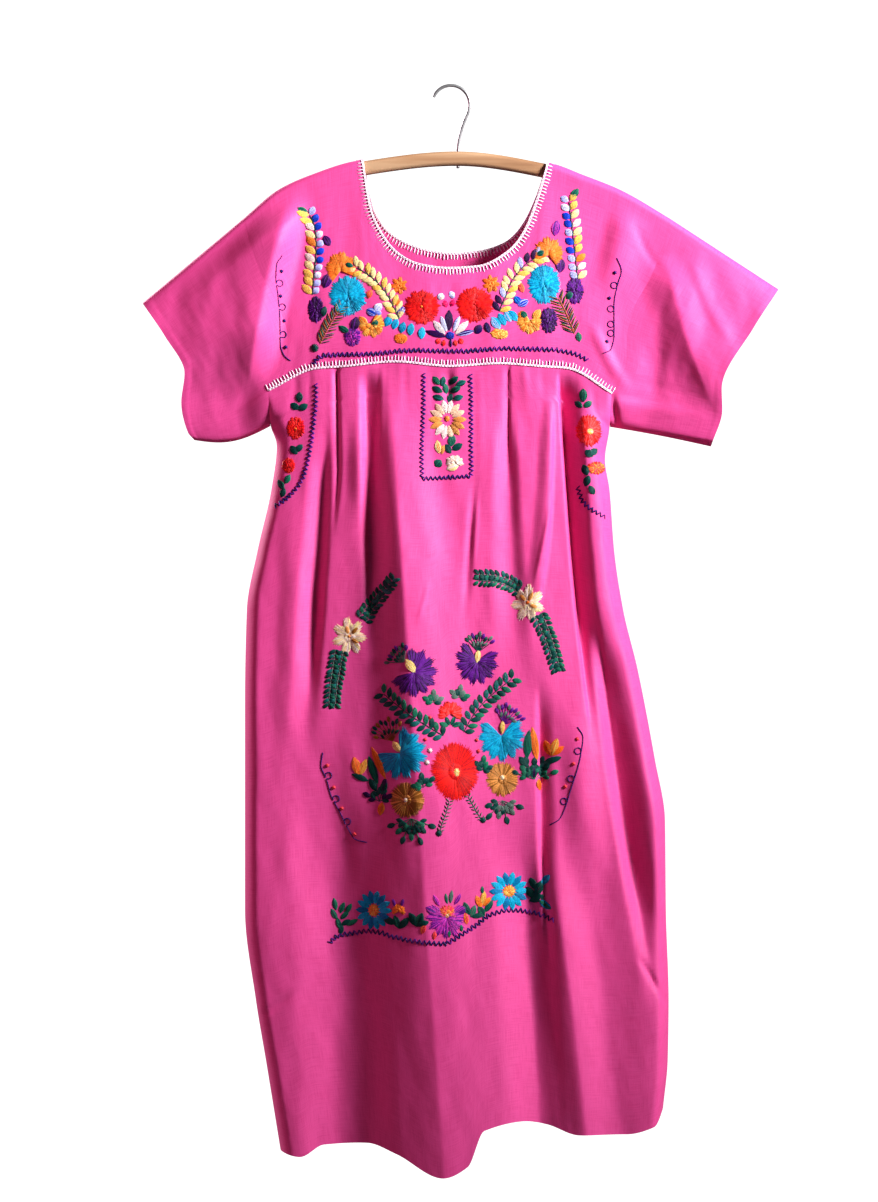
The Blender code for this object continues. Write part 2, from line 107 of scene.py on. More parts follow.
def add_noise(tree, place, scale, detail, stretch=(1, 1, 1)):
    """Noise at a scale per metre, stretched along the axes. Returns its value."""
    mapping = tree.nodes.new("ShaderNodeMapping")
    mapping.inputs["Scale"].default_value = stretch
    tree.links.new(place, mapping.inputs["Vector"])
    noise = tree.nodes.new("ShaderNodeTexNoise")
    noise.inputs["Scale"].default_value = scale
    noise.inputs["Detail"].default_value = detail
    tree.links.new(mapping.outputs["Vector"], noise.inputs["Vector"])
    return noise.outputs["Fac"]


def color_between(tree, shader, value, low, high, colors):
    """Base colour from a ramp between two or more colours as the value goes low to high."""
    ramp = tree.nodes.new("ShaderNodeValToRGB")
    band = ramp.color_ramp
    for k, color in enumerate(colors):
        at = mix(low, high, k / (len(colors) - 1))
        stop = band.elements[k] if k < 2 else band.elements.new(at)
        stop.position = at
        stop.color = (*color, 1)
    tree.links.new(value, ramp.inputs["Fac"])
    tree.links.new(ramp.outputs["Color"], shader.inputs["Base Color"])


def add_bump(tree, shader, value, strength, depth):
    """Bump of a given depth in metres, on top of any that is already there."""
    bump = tree.nodes.new("ShaderNodeBump")
    bump.inputs["Strength"].default_value = strength
    bump.inputs["Distance"].default_value = depth
    tree.links.new(value, bump.inputs["Height"])
    if shader.inputs["Normal"].links:
        tree.links.new(shader.inputs["Normal"].links[0].from_socket, bump.inputs["Normal"])
    tree.links.new(bump.outputs["Normal"], shader.inputs["Normal"])


def add_object(name, data):
    made = bpy.data.objects.new(name, data)
    bpy.context.scene.collection.objects.link(made)
    return made


def finished_mesh(name, bm, material):
    mesh = bpy.data.meshes.new(name)
    bm.to_mesh(mesh)
    bm.free()
    mesh.materials.append(material)
    return mesh


def add_piece(name, mesh):
    """A smooth piece that rides on the one body."""
    mesh.shade_smooth()
    piece = add_object(name, mesh)
    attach(piece, "root")
    return piece


def replace_node(name, bm, material, node):
    """A piece in place of one of the part's solids, from a mesh in millimetres."""
    bmesh.ops.scale(bm, vec=(MM, MM, MM), verts=bm.verts)
    piece = add_piece(name, finished_mesh(name, bm, material))
    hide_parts(node)
    return piece


def bar_top(x):
    return -through(SHOULDER, x) - BAR_BELOW_SHOULDER


wood, tree, shader, place = new_material("hanger_wood", (0.42, 0.25, 0.14), 0.5,
                                         {"Coat Weight": 0.25, "Coat Roughness": 0.3})
grain = add_noise(tree, place, 60, 6, (0.09, 1, 1.6))
color_between(tree, shader, grain, 0.32, 0.68,
              ((0.29, 0.145, 0.075), (0.45, 0.255, 0.14), (0.55, 0.35, 0.21)))
add_bump(tree, shader, grain, 0.25, 0.0004)

bm = bmesh.new()
bar_length = BAR_RIGHT - BAR_LEFT
bmesh.ops.create_cone(bm, cap_ends=True, segments=BAR_SIDES, radius1=BAR_THICK / 2,
                      radius2=BAR_THICK / 2, depth=bar_length)
for station in range(1, BAR_STATIONS):
    at = mix(-bar_length / 2, bar_length / 2, station / BAR_STATIONS)
    everything = bm.verts[:] + bm.edges[:] + bm.faces[:]
    bmesh.ops.bisect_plane(bm, geom=everything, plane_co=(0, 0, at), plane_no=(0, 0, 1))
for vert in bm.verts:
    along, side, up = -vert.co.z, vert.co.y, vert.co.x
    from_end = min(along + bar_length / 2, bar_length / 2 - along)
    inset = max(0, 1 - from_end / BAR_END_ROUND)
    narrow = mix(BAR_END_SIZE, 1, math.sqrt(max(1 - inset**2, 0)))
    up += math.copysign((BAR_TALL - BAR_THICK) / 2, up) if abs(up) > BAR_MIDDLE else 0
    x = (BAR_LEFT + BAR_RIGHT) / 2 + along
    vert.co = (x, side * narrow, float(bar_top(x)) - BAR_TALL / 2 + up * narrow)
replace_node("bar", bm, wood, "hanger_bar")

# Hook
# A plated steel wire, bent into an arc over the rod and a stem with a soft bend, and pushed
# through a hole near the middle of the bar.
WIRE_RADIUS, WIRE_SIDES = 1.75, 16
HOOK_RADIUS, HOOK_CENTRE_X = 20.5, 1
HOOK_TIP_ANGLE, HOOK_END_ANGLE = 158, -20
HOOK_ARC_POINTS, HOOK_STEM_POINTS = 40, 40
STEM_PAST_BAR = 2.5  # the wire's end shows this far under the bar
STEM = (  # down, x
    (27, 20.2), (34, 17.4), (42, 14.2), (53, 11), (62, 9.3), (72, 8.8), (100, 8.8),
)

chrome, tree, shader, place = new_material("hook_wire", (0.42, 0.42, 0.43), 0.36,
                                           {"Metallic": 0.6})
smears = add_noise(tree, place, 90, 4)
color_between(tree, shader, smears, 0.35, 0.7, ((0.3, 0.3, 0.31), (0.52, 0.52, 0.53)))
add_bump(tree, shader, add_noise(tree, place, 900, 2), 0.12, 0.0001)

route = []
for k in range(HOOK_ARC_POINTS):
    angle = math.radians(mix(HOOK_TIP_ANGLE, HOOK_END_ANGLE, k / (HOOK_ARC_POINTS - 1)))
    route.append((HOOK_CENTRE_X + HOOK_RADIUS * math.cos(angle),
                  WIRE_RADIUS - HOOK_RADIUS + HOOK_RADIUS * math.sin(angle)))
stem_end = float(bar_top(STEM[-1][1])) - BAR_TALL - STEM_PAST_BAR
for k in range(1, HOOK_STEM_POINTS + 1):
    z = mix(route[HOOK_ARC_POINTS - 1][1], stem_end, k / HOOK_STEM_POINTS)
    route.append((float(through(STEM, -z)), z))
bm = bmesh.new()
ring = bmesh.ops.create_circle(bm, cap_ends=True, segments=WIRE_SIDES, radius=WIRE_RADIUS)
wire_face = ring["verts"][0].link_faces[0]
for k, (x, z) in enumerate(route):
    before, after = route[max(k - 1, 0)], route[min(k + 1, len(route) - 1)]
    heading = math.atan2(after[1] - before[1], after[0] - before[0])
    if k:
        made = bmesh.ops.extrude_discrete_faces(bm, faces=[wire_face])
        wire_face = made["faces"][0]
    for corner, loop in enumerate(wire_face.loops):
        turn = math.tau * corner / WIRE_SIDES
        across = WIRE_RADIUS * math.cos(turn)
        loop.vert.co = (x - across * math.sin(heading), WIRE_RADIUS * math.sin(turn),
                        z + across * math.cos(heading))
bmesh.ops.recalc_face_normals(bm, faces=bm.faces)
replace_node("hook", bm, chrome, "hanger_hook")

# Yoke
# One piece of hot pink plain-weave cotton folded over both shoulders, with the round neck
# cut in it. The cloth is pressed but soft, and sags a little between seam and shoulder.
WALL, SEAM = 0.9, 0.03  # thickness of the cloth, how far each edge keeps from its seam
SHOULDER_CENTRE = 7
RIDGE_ON_BAR, RIDGE_AT_CUFF = 7.5, 4.5  # radius of the fold over the shoulder
RIDGE_EASE_FROM, RIDGE_EASE_OVER = 185, 120  # where it starts to narrow, over what length
NECK_LEFT, NECK_RIGHT = -96, 107
NECK = {
    "front": (  # x, down
        (-87, 134), (-76, 160), (-58, 183), (-33, 196), (-3, 200), (31, 198), (64, 181),
        (81, 160), (96, 122),
    ),
    "back": (  # x, down
        (-84, 134), (-70, 156), (-49, 170), (-26, 178), (3, 182), (35, 179), (61, 170),
        (79, 152), (95, 120),
    ),
}
YOKE_EDGE = (  # x, down
    (-199, 336), (-146, 312), (-116, 310), (-60, 305), (0, 310), (55, 307), (99, 310),
    (128, 312), (177, 339),
)
ARMHOLE = {
    "left": (  # down, x
        (146, -228), (202, -209), (249, -185), (278, -178), (300, -180), (323, -189),
        (336, -199),
    ),
    "right": (  # down, x
        (146, 243), (202, 224), (249, 200), (278, 194), (300, 194), (323, 186), (339, 177),
    ),
}
# Depth of the sag in the middle and at the armholes, and the height over which it comes
YOKE_SAG, YOKE_SAG_EDGE, YOKE_SAG_OVER = {"front": 22, "back": 15}, 9, 230
YOKE_HALF_WIDTH = 215
# How far the cloth dips in at the seam to the skirt, and the height over which it does
SEAM_DIP, SEAM_DIP_OVER = {"front": 0, "back": 1.6}, 7
# A fold's place x at its start, middle and end, the widths of its left and right flanks,
# how much they grow to the end, the shares over which it fades in and out, how far it
# stands out, or in when that is negative, and how sharp its crest is where it is not soft
FOLD_COLUMNS = ("start end x_top x_mid x_low left right grow fade_in fade_out depth "
                "crisp").split()
SHOULDER_FOLDS = {
    "front": (
        (104, 350, -172, -203, -226, 108, 30, 1.1, 0.30, 0.35, 24, 0.4),
        (112, 238, 196, 185, 171, 19, 28, 1.3, 0.40, 0.45, 5),
        (180, 374, 234, 259, 298, 34, 56, 1.2, 0.25, 0.45, 10, 0.8),
        (140, 214, 200, 214, 238, 6, 6, 1.3, 0.40, 0.40, -1.3, 0.4),
        (178, 300, 262, 282, 318, 8, 12, 1.3, 0.40, 0.40, 1.4, 0.4),
        (330, 384, 176, 180, 186, 5, 7, 1.0, 0.40, 0.40, -4),
        (250, 345, 150, 172, 200, 9, 10, 1.3, 0.40, 0.40, 2.5),
    ),
    "back": (
        (118, 330, -172, -194, -220, 24, 24, 1.4, 0.40, 0.35, 6),
        (118, 330, 180, 204, 236, 24, 24, 1.4, 0.40, 0.35, 6),
    ),
}
SHOULDER_FOLD_EASE = 45  # folds are flat at the shoulder, and full this far below it
NECK_CREASES = (
    (204, 262, -18, -24, -30, 9, 7, 1.0, 0.45, 0.50, 1.0),
    (204, 258, 4, 2, -4, 8, 7, 1.0, 0.45, 0.50, -0.9),
    (206, 300, 34, 40, 48, 10, 9, 1.2, 0.45, 0.50, 0.9),
)
SHOULDER_COLUMNS, NECK_COLUMNS, YOKE_ROWS, RIDGE_STEPS = 34, 84, 62, 7
NECK_PULL = 0.35  # how much closer the columns lie at both ends of the neck edge
CREST_POWER = 1.5
JOIN = 0.01  # points this close are sewn into one
CRUMPLES = (  # length of a wave across and down, angle, height
    (52, 210, 5, 0.40),
    (33, 130, -9, 0.22),
    (19, 80, 14, 0.09),
    (60, 60, 32, 0.12),
    (12, 34, -28, 0.04),
)
# Waves of each length, how far their angle and length vary, their height and their bend
CRUMPLE_WAVES, CRUMPLE_TURN, CRUMPLE_STRETCH = 3, 14, (0.75, 1.35)
CRUMPLE_HEIGHT, CRUMPLE_BEND = 0.6, 1.3
FRONT, BACK = "front", "back"


def outward(face):
    """Sign of Y on this face of the dress."""
    return -1 if face == FRONT else 1


def relief(folds, x, down):
    """How far the folds of a table lift the cloth at each point."""
    total = np.zeros(np.broadcast(x, down).shape)
    for row in folds:
        fold = dict(zip(FOLD_COLUMNS, row))
        along = (down - fold["start"]) / (fold["end"] - fold["start"])
        inside = (along > 0) & (along < 1)
        q = np.clip(along, 0, 1)
        halves = ((0, fold["x_top"]), (0.5, fold["x_mid"]), (1, fold["x_low"]))
        away = x - through(halves, q)
        flank = np.where(away < 0, fold["left"], fold["right"]) * mix(1, fold["grow"], q)
        apart = np.clip(np.abs(away) / flank, 0, 1)
        soft = 0.5 + 0.5 * np.cos(math.pi * apart)
        bell = mix(soft, (1 - apart) ** CREST_POWER, fold.get("crisp", 0))
        fade = ease(q / fold["fade_in"]) * ease((1 - q) / fold["fade_out"])
        total += np.where(inside, fold["depth"] * bell * fade, 0)
    return total


def crumple(x, down, seed):
    """The small soft waves of worn cotton, uneven in place and height."""
    chance = random.Random(seed)
    total = np.zeros(np.broadcast(x, down).shape)
    for across, along, angle, height in CRUMPLES:
        for _ in range(CRUMPLE_WAVES):
            turn = math.radians(angle + chance.uniform(-CRUMPLE_TURN, CRUMPLE_TURN))
            stretch = chance.uniform(*CRUMPLE_STRETCH)
            u = (x * math.cos(turn) + down * math.sin(turn)) / across / stretch
            v = (down * math.cos(turn) - x * math.sin(turn)) / along / stretch
            start = chance.uniform(0, math.tau)
            patch = np.sin(v * math.pi + chance.uniform(0, math.tau))
            wave = np.sin(math.tau * u + start + CRUMPLE_BEND * patch)
            total += height * CRUMPLE_HEIGHT * wave * patch
    return total


def ridge_radius(x):
    past_bar = np.abs(x - SHOULDER_CENTRE) - RIDGE_EASE_FROM
    return mix(RIDGE_ON_BAR, RIDGE_AT_CUFF, ease(past_bar / RIDGE_EASE_OVER))


def shoulder_lift(x, down, face):
    """The folds that run from the shoulder over yoke and sleeve, flat at the shoulder."""
    below = np.maximum(down - through(SHOULDER, x), 0)
    return relief(SHOULDER_FOLDS[face], x, down) * ease(below / SHOULDER_FOLD_EASE)


def yoke_depth(x, down, face):
    """Distance of the yoke's cloth from the middle plane."""
    below = np.maximum(down - through(SHOULDER, x), 0)
    radius = ridge_radius(x)
    turn = np.sqrt(radius**2 - (radius - np.minimum(below, radius)) ** 2)
    across = np.clip(np.abs(x - SHOULDER_CENTRE) / YOKE_HALF_WIDTH, 0, 1)
    sag = mix(YOKE_SAG[face], YOKE_SAG_EDGE, across**2) * ease(below / YOKE_SAG_OVER)
    small = crumple(x, down, "yoke " + face)
    if face == FRONT:
        small = small + relief(NECK_CREASES, x, down)
    above_seam = ease((through(YOKE_EDGE, x) - down) / SEAM_DIP_OVER)
    lift = shoulder_lift(x, down, face) - SEAM_DIP[face] * (1 - above_seam)
    return turn + sag + lift + small * ease(below / SHOULDER_FOLD_EASE)


def lengths(points):
    """Length along a path from its first point to each."""
    steps = np.linalg.norm(np.diff(points, axis=0), axis=1)
    return np.concatenate([[0], np.cumsum(steps)])


def smooth_path(points, at):
    """Coordinates x and down at given lengths along a smooth path."""
    table = np.column_stack([lengths(points), points])
    return through(table[:, (0, 1)], at), through(table[:, (0, 2)], at)


def neck_line(face, share):
    """Coordinates x and down along the neck edge from the left shoulder to the right."""
    ends = [(x, float(through(SHOULDER, x))) for x in (NECK_LEFT, NECK_RIGHT)]
    neck = np.array((ends[0], *NECK[face], ends[1]))
    return smooth_path(neck, share * lengths(neck)[-1])


def yoke_rows(top_x, top_down, low_down, rows):
    """Heights of the yoke's rows: close together over the ridge, then even."""
    turns = [math.pi / 2 * k / RIDGE_STEPS for k in range(RIDGE_STEPS + 1)]
    ridge = [top_down + ridge_radius(top_x) * (1 - math.cos(turn)) for turn in turns]
    even = [mix(ridge[-1], low_down, (k + 1) / rows) for k in range(rows)]
    return np.stack(ridge + even)


def yoke_grid(face):
    """Points of one face of the yoke, row by row from the shoulder down."""
    share_left = np.arange(SHOULDER_COLUMNS) / SHOULDER_COLUMNS
    even = np.linspace(0, 1, NECK_COLUMNS + 1)
    share_neck = even - NECK_PULL * np.sin(math.tau * even) / math.tau
    left_x = mix(ARMHOLE["left"][0][1], NECK_LEFT, share_left)
    right_x = mix(NECK_RIGHT, ARMHOLE["right"][0][1], 1 - share_left[::-1])
    neck_x, neck_down = neck_line(face, share_neck)
    top_x = np.concatenate([left_x, neck_x, right_x])
    top_down = np.concatenate([through(SHOULDER, left_x), neck_down,
                               through(SHOULDER, right_x)])
    low_x = np.linspace(YOKE_EDGE[0][0], YOKE_EDGE[-1][0], len(top_x))
    down = yoke_rows(top_x, top_down, through(YOKE_EDGE, low_x), YOKE_ROWS)
    share = (down - top_down) / (down[-1] - top_down)
    x = mix(top_x, low_x, share)
    for side, column, order in (("left", 0, 1), ("right", -1, -1)):
        curve = through(ARMHOLE[side], down[:, column]) - x[:, column]
        near = np.zeros(len(top_x))
        near[::order][:SHOULDER_COLUMNS] = (1 - share_left) ** 2
        x = x + curve[:, None] * near
    y = outward(face) * yoke_depth(x, down, face)
    x[:, 0] += SEAM
    x[:, -1] -= SEAM
    down[-1] -= SEAM
    return np.stack([x, y, -down], axis=-1)


def sew_sheet(name, sheets, material, node):
    """A cloth piece: grids laid on their points, merged at shared edges, with a wall."""
    bm = bmesh.new()
    grain_map = bm.loops.layers.uv.new("Grain")
    for points, turned in sheets:
        rows, columns = points.shape[:2]
        wide = np.linalg.norm(np.diff(points, axis=1), axis=2).sum(axis=1).mean()
        tall = np.linalg.norm(np.diff(points, axis=0), axis=2).sum(axis=0).mean()
        made = bmesh.ops.create_grid(bm, x_segments=columns - 1, y_segments=rows - 1,
                                     size=0.5)
        faces = {face for vert in made["verts"] for face in vert.link_faces}
        for face in faces:
            for loop in face.loops:
                across, up = loop.vert.co.x + 0.5, loop.vert.co.y + 0.5
                loop[grain_map].uv = (across * wide * MM, up * tall * MM)
        for vert in made["verts"]:
            column = round((vert.co.x + 0.5) * (columns - 1))
            row = round((0.5 - vert.co.y) * (rows - 1))
            vert.co = points[row, column]
        if turned:
            bmesh.ops.reverse_faces(bm, faces=list(faces))
    bmesh.ops.remove_doubles(bm, verts=bm.verts[:], dist=JOIN)
    for edge in bm.edges:
        edge.smooth = not edge.is_boundary
    piece = replace_node(name, bm, material, node)
    wall = piece.modifiers.new("Wall", "SOLIDIFY")
    wall.thickness = WALL * MM
    wall.offset = 0
    return piece


PINK_LOW, PINK, PINK_HIGH = (0.76, 0.066, 0.29), (0.80, 0.078, 0.318), (0.84, 0.092, 0.355)
cotton, tree, shader, _ = new_material(
    "pink_cotton", PINK, 0.6,
    {"Sheen Weight": 0.16, "Sheen Roughness": 0.6, "Sheen Tint": (1.0, 0.5, 0.7, 1),
     "Specular IOR Level": 0.38})
grain_node = tree.nodes.new("ShaderNodeUVMap")
grain_node.uv_map = "Grain"
grain_place = grain_node.outputs["UV"]
warp = add_noise(tree, grain_place, 1500, 2, (1, 0.03, 1))
weft = add_noise(tree, grain_place, 1500, 2, (0.03, 1, 1))
both = tree.nodes.new("ShaderNodeMath")
both.operation = "ADD"
tree.links.new(warp, both.inputs[0])
tree.links.new(weft, both.inputs[1])
color_between(tree, shader, both.outputs["Value"], 0.7, 1.3, (PINK_LOW, PINK, PINK_HIGH))
add_bump(tree, shader, add_noise(tree, grain_place, 26, 4, (1, 0.5, 1)), 0.25, 0.003)
wrinkles = add_noise(tree, grain_place, 14, 3, (1, 0.45, 1))
wrinkles.node.noise_type = "RIDGED_MULTIFRACTAL"
add_bump(tree, shader, wrinkles, 0.5, 0.005)
add_bump(tree, shader, both.outputs["Value"], 0.13, 0.0003)

yoke = sew_sheet("yoke_cloth", ((yoke_grid(FRONT), False), (yoke_grid(BACK), True)),
                 cotton, "yoke")

# Skirt panels
# Front and back panels of the same cotton, each wider than the yoke and pleated onto its
# lower edge. The pleats open into long folds that fall to the hem.
SIDE_LEFT = (  # down, x
    (336, -199), (371, -197), (394, -190), (443, -196), (509, -211), (575, -223), (674, -225),
    (905, -225), (1004, -213), (1070, -202), (1168, -186),
)
SIDE_RIGHT = (  # down, x
    (339, 177), (375, 175), (410, 170), (443, 175), (509, 180), (575, 190), (641, 206),
    (740, 225), (806, 236), (905, 237), (1004, 240), (1070, 239), (1121, 234),
)
HEM = {
    "front": (  # x, down
        (-186, 1168), (-164, 1173), (-138, 1160), (-90, 1158), (-59, 1168), (-8, 1193),
        (19, 1181), (37, 1142), (80, 1133), (106, 1137), (141, 1148), (192, 1148), (223, 1140),
        (234, 1121),
    ),
    "back": (  # x, down
        (-186, 1168), (-110, 1150), (20, 1138), (140, 1136), (234, 1121),
    ),
}
SKIRT_MIDDLE = {  # down, depth
    "front": ((305, 31), (450, 41), (700, 48), (1000, 52), (1195, 54)),
    "back": ((305, 24), (450, 31), (700, 37), (1000, 40), (1195, 41)),
}
SKIRT_EDGE = {  # down, depth
    "front": ((305, 16), (450, 22), (700, 26), (1195, 28)),
    "back": ((305, 16), (450, 20), (700, 23), (1195, 24)),
}
SIDE_ROUND = 15  # width over which a panel turns in to its side seam
YOKE_TO_SKIRT = 90  # height over which the yoke's depth gives way to the skirt's
ARMHOLE_SHARE = 0.044  # upper share of each side that is still armhole
SKIRT_FOLDS = {
    "front": (
        # Pleats under the yoke
        (309, 520, -124, -122, -132, 7, 3, 1.8, 0.03, 0.50, -4, 0.6),
        (345, 760, -133, -146, -162, 20, 12, 1.2, 0.30, 0.50, -10, 0.3),
        (309, 360, -2, -2, -3, 9, 9, 1.0, 0.30, 0.50, -3),
        (308, 460, 64, 64, 66, 7, 2.5, 1.5, 0.04, 0.60, -2.5, 0.6),
        (330, 700, 62, 66, 76, 14, 10, 2.4, 0.25, 0.50, -6),
        (312, 740, 119, 134, 158, 2.5, 28, 1.5, 0.08, 0.35, -14, 0.4),
        (330, 760, 143, 160, 188, 22, 34, 1.1, 0.15, 0.35, 10, 0.3),
        # Folds that fall from them
        (309, 1290, -67, -34, 1, 25, 44, 3.7, 0.22, 0.01, 20, 0.5),
        (309, 660, -92, -88, -82, 10, 24, 1.3, 0.08, 0.50, -8, 0.3),
        (330, 620, 111, 106, 86, 14, 6, 1.3, 0.20, 0.40, 5),
        (350, 500, -100, -98, -100, 14, 14, 1.3, 0.40, 0.50, 4),
        (420, 600, 27, 21, 15, 6, 6, 1.3, 0.40, 0.40, -2.5),
        (432, 562, 115, 103, 89, 3.5, 3.5, 1.0, 0.30, 0.30, 1.6, 0.8),
        (440, 532, 30, 28, 25, 3.5, 3.5, 1.0, 0.30, 0.30, 1.1, 0.8),
        (540, 594, -22, -29, -37, 3.5, 3.5, 1.0, 0.30, 0.30, 1.2, 0.8),
        (430, 800, -172, -170, -172, 18, 20, 1.5, 0.35, 0.45, 3),
        (560, 1030, 158, 189, 232, 14, 32, 1.1, 0.22, 0.40, -17, 0.4),
        (650, 1000, 97, 100, 112, 5, 16, 1.2, 0.20, 0.45, -8, 0.5),
        (640, 900, 132, 146, 156, 26, 26, 1.3, 0.40, 0.45, 6),
        # Lower skirt
        (950, 1012, 204, 222, 240, 6, 6, 1.0, 0.30, 0.20, -3, 0.3),
        (988, 1024, -168, -188, -212, 8, 8, 1.0, 0.40, 0.30, -2.5),
        (700, 1260, -134, -110, -102, 60, 50, 1.1, 0.35, 0.03, -14),
        (780, 1250, 74, 92, 102, 38, 28, 1.2, 0.30, 0.03, -12, 0.3),
        (800, 1270, 104, 136, 160, 24, 36, 1.2, 0.30, 0.03, 11, 0.4),
        (640, 1330, 218, 228, 224, 66, 26, 1.0, 0.30, 0.05, 12, 0.3),
        (440, 1280, -222, -230, -196, 30, 96, 1.0, 0.30, 0.10, 11),
    ),
    "back": (
        (311, 760, -120, -126, -140, 6, 14, 2.6, 0.05, 0.60, -8, 0.5),
        (306, 900, -52, -60, -78, 8, 17, 3.2, 0.07, 0.50, -11, 0.4),
        (308, 740, 26, 30, 44, 14, 6, 2.6, 0.05, 0.60, -8, 0.5),
        (311, 940, 96, 108, 132, 8, 16, 3.2, 0.07, 0.50, -11, 0.4),
        (330, 620, -154, -162, -178, 18, 18, 1.4, 0.30, 0.50, 5),
        (480, 1220, -84, -98, -112, 30, 34, 1.4, 0.40, 0.05, -12, 0.3),
        (640, 1220, -152, -158, -160, 34, 44, 1.2, 0.40, 0.05, 9),
        (560, 1220, -10, -4, 14, 46, 52, 1.3, 0.35, 0.03, 12, 0.3),
        (660, 1220, 76, 88, 96, 30, 36, 1.2, 0.40, 0.05, -12, 0.2),
        (700, 1220, 158, 164, 158, 34, 30, 1.1, 0.40, 0.05, 9),
    ),
}
# Small gathers along the yoke: how many and where, and the ranges they are drawn from
SMALL_PLEATS, PLEATS_FROM, PLEATS_TO = 14, -180, 160
PLEAT_PLACE, PLEAT_LENGTH = (0.1, 0.9), (45, 170)
PLEAT_WIDTH, PLEAT_DEPTH = (4.5, 8), (0.3, 1.0)
PLEAT_DRIFT, PLEAT_SPREAD = 4, 0.0004
PLEAT_GROW, PLEAT_FADE_IN, PLEAT_FADE_OUT = 1.5, 0.12, 0.7
SKIRT_COLUMNS = {"front": 236, "back": 110}
SKIRT_ROWS = {"front": 190, "back": 150}
ARMHOLE_ROWS = 8
FINE = 900  # points of a row before its columns are set at even steps
PLEAT_ABOVE_EDGE = 1  # a gather starts this far above the yoke's edge


def small_pleats(face):
    """Short uneven gathers along the yoke edge, as rows of the fold table."""
    chance = random.Random("pleats " + face)
    rows = []
    for k in range(SMALL_PLEATS):
        x = mix(PLEATS_FROM, PLEATS_TO, (k + chance.uniform(*PLEAT_PLACE)) / SMALL_PLEATS)
        start = float(through(YOKE_EDGE, x)) - PLEAT_ABOVE_EDGE
        length = chance.uniform(*PLEAT_LENGTH)
        drift = chance.uniform(-PLEAT_DRIFT, PLEAT_DRIFT) + x * length * PLEAT_SPREAD
        width = chance.uniform(*PLEAT_WIDTH)
        depth = chance.choice((-1, 1)) * chance.uniform(*PLEAT_DEPTH)
        rows.append((start, start + length, x, x + drift / 2, x + drift, width, width,
                     PLEAT_GROW, PLEAT_FADE_IN, PLEAT_FADE_OUT, depth))
    return rows


ALL_FOLDS = {face: (*SKIRT_FOLDS[face], *small_pleats(face)) for face in (FRONT, BACK)}


def skirt_frame(share, row, face):
    """Both sides' x at a row, then at a share the top edge's x and down and the hem's down."""
    hem = HEM[face]
    left = through(SIDE_LEFT, mix(SIDE_LEFT[0][0], SIDE_LEFT[-1][0], row))
    right = through(SIDE_RIGHT, mix(SIDE_RIGHT[0][0], SIDE_RIGHT[-1][0], row))
    top_x = mix(YOKE_EDGE[0][0], YOKE_EDGE[-1][0], share)
    hem_down = through(hem, mix(hem[0][0], hem[-1][0], share))
    return left, right, top_x, through(YOKE_EDGE, top_x), hem_down


def skirt_points(share, row, face):
    """Points of a skirt panel: share runs from the left side to the right, row down."""
    left, right, top_x, top_down, hem_down = skirt_frame(share, row, face)
    x = mix(left, right, share)
    down = mix(top_down, hem_down, row)
    middle = 1 - (2 * share - 1) ** 2
    full = mix(through(SKIRT_EDGE[face], down), through(SKIRT_MIDDLE[face], down), middle)
    seam_depth = yoke_depth(top_x, top_down, face)
    leaving = ease((down - top_down) / YOKE_TO_SKIRT)
    below_seam = ease((down - top_down) / SEAM_DIP_OVER)
    seam_depth = seam_depth + SEAM_DIP[face] * below_seam
    small = crumple(x, down, "skirt " + face) * leaving
    full = mix(seam_depth, full, leaving) + relief(ALL_FOLDS[face], x, down) + small

    edge_x = np.where(share < 0.5, YOKE_EDGE[0][0], YOKE_EDGE[-1][0])
    edge_down = np.where(share < 0.5, YOKE_EDGE[0][1], YOKE_EDGE[-1][1])
    above_arm = np.sqrt(np.maximum(1 - (row / ARMHOLE_SHARE) ** 2, 0))
    edge = yoke_depth(edge_x, edge_down, face) * above_arm
    round_in = mix(1, SIDE_ROUND, ease(row / ARMHOLE_SHARE))
    inset = np.minimum(np.minimum(x - left, right - x) / round_in, 1)
    turn = np.sqrt(np.maximum(1 - (1 - inset) ** 2, 0))
    y = outward(face) * mix(edge, full, turn)
    return np.stack(np.broadcast_arrays(x, y, -down), axis=-1)


def skirt_row_shares(face):
    """Rows of the panel: a few above the underarm, then even steps to the hem."""
    above = np.linspace(0, ARMHOLE_SHARE, ARMHOLE_ROWS + 1)
    below = np.linspace(ARMHOLE_SHARE, 1, SKIRT_ROWS[face] - ARMHOLE_ROWS)[1:]
    return np.concatenate([above, below])


def skirt_grid(face):
    """Points of one panel, with the columns at even steps along the cloth in each row."""
    rows = []
    for row in skirt_row_shares(face):
        share = np.linspace(0, 1, FINE)
        length = lengths(skirt_points(share, row, face))
        even = np.linspace(0, length[-1], SKIRT_COLUMNS[face])
        rows.append(skirt_points(np.interp(even, length, share), row, face))
    grid = np.stack(rows)
    grid[0, :, 2] -= SEAM
    below_arm = skirt_row_shares(face) >= ARMHOLE_SHARE
    for column, inward in ((0, 1), (-1, -1)):
        grid[below_arm, column, 1] = outward(face) * SEAM
        grid[~below_arm, column, 0] += inward * SEAM
    return grid


skirt_front = sew_sheet("skirt_front_cloth", ((skirt_grid(FRONT), False),),
                        cotton, "skirt_front")
skirt_back = sew_sheet("skirt_back_cloth", ((skirt_grid(BACK), True),),
                       cotton, "skirt_back")

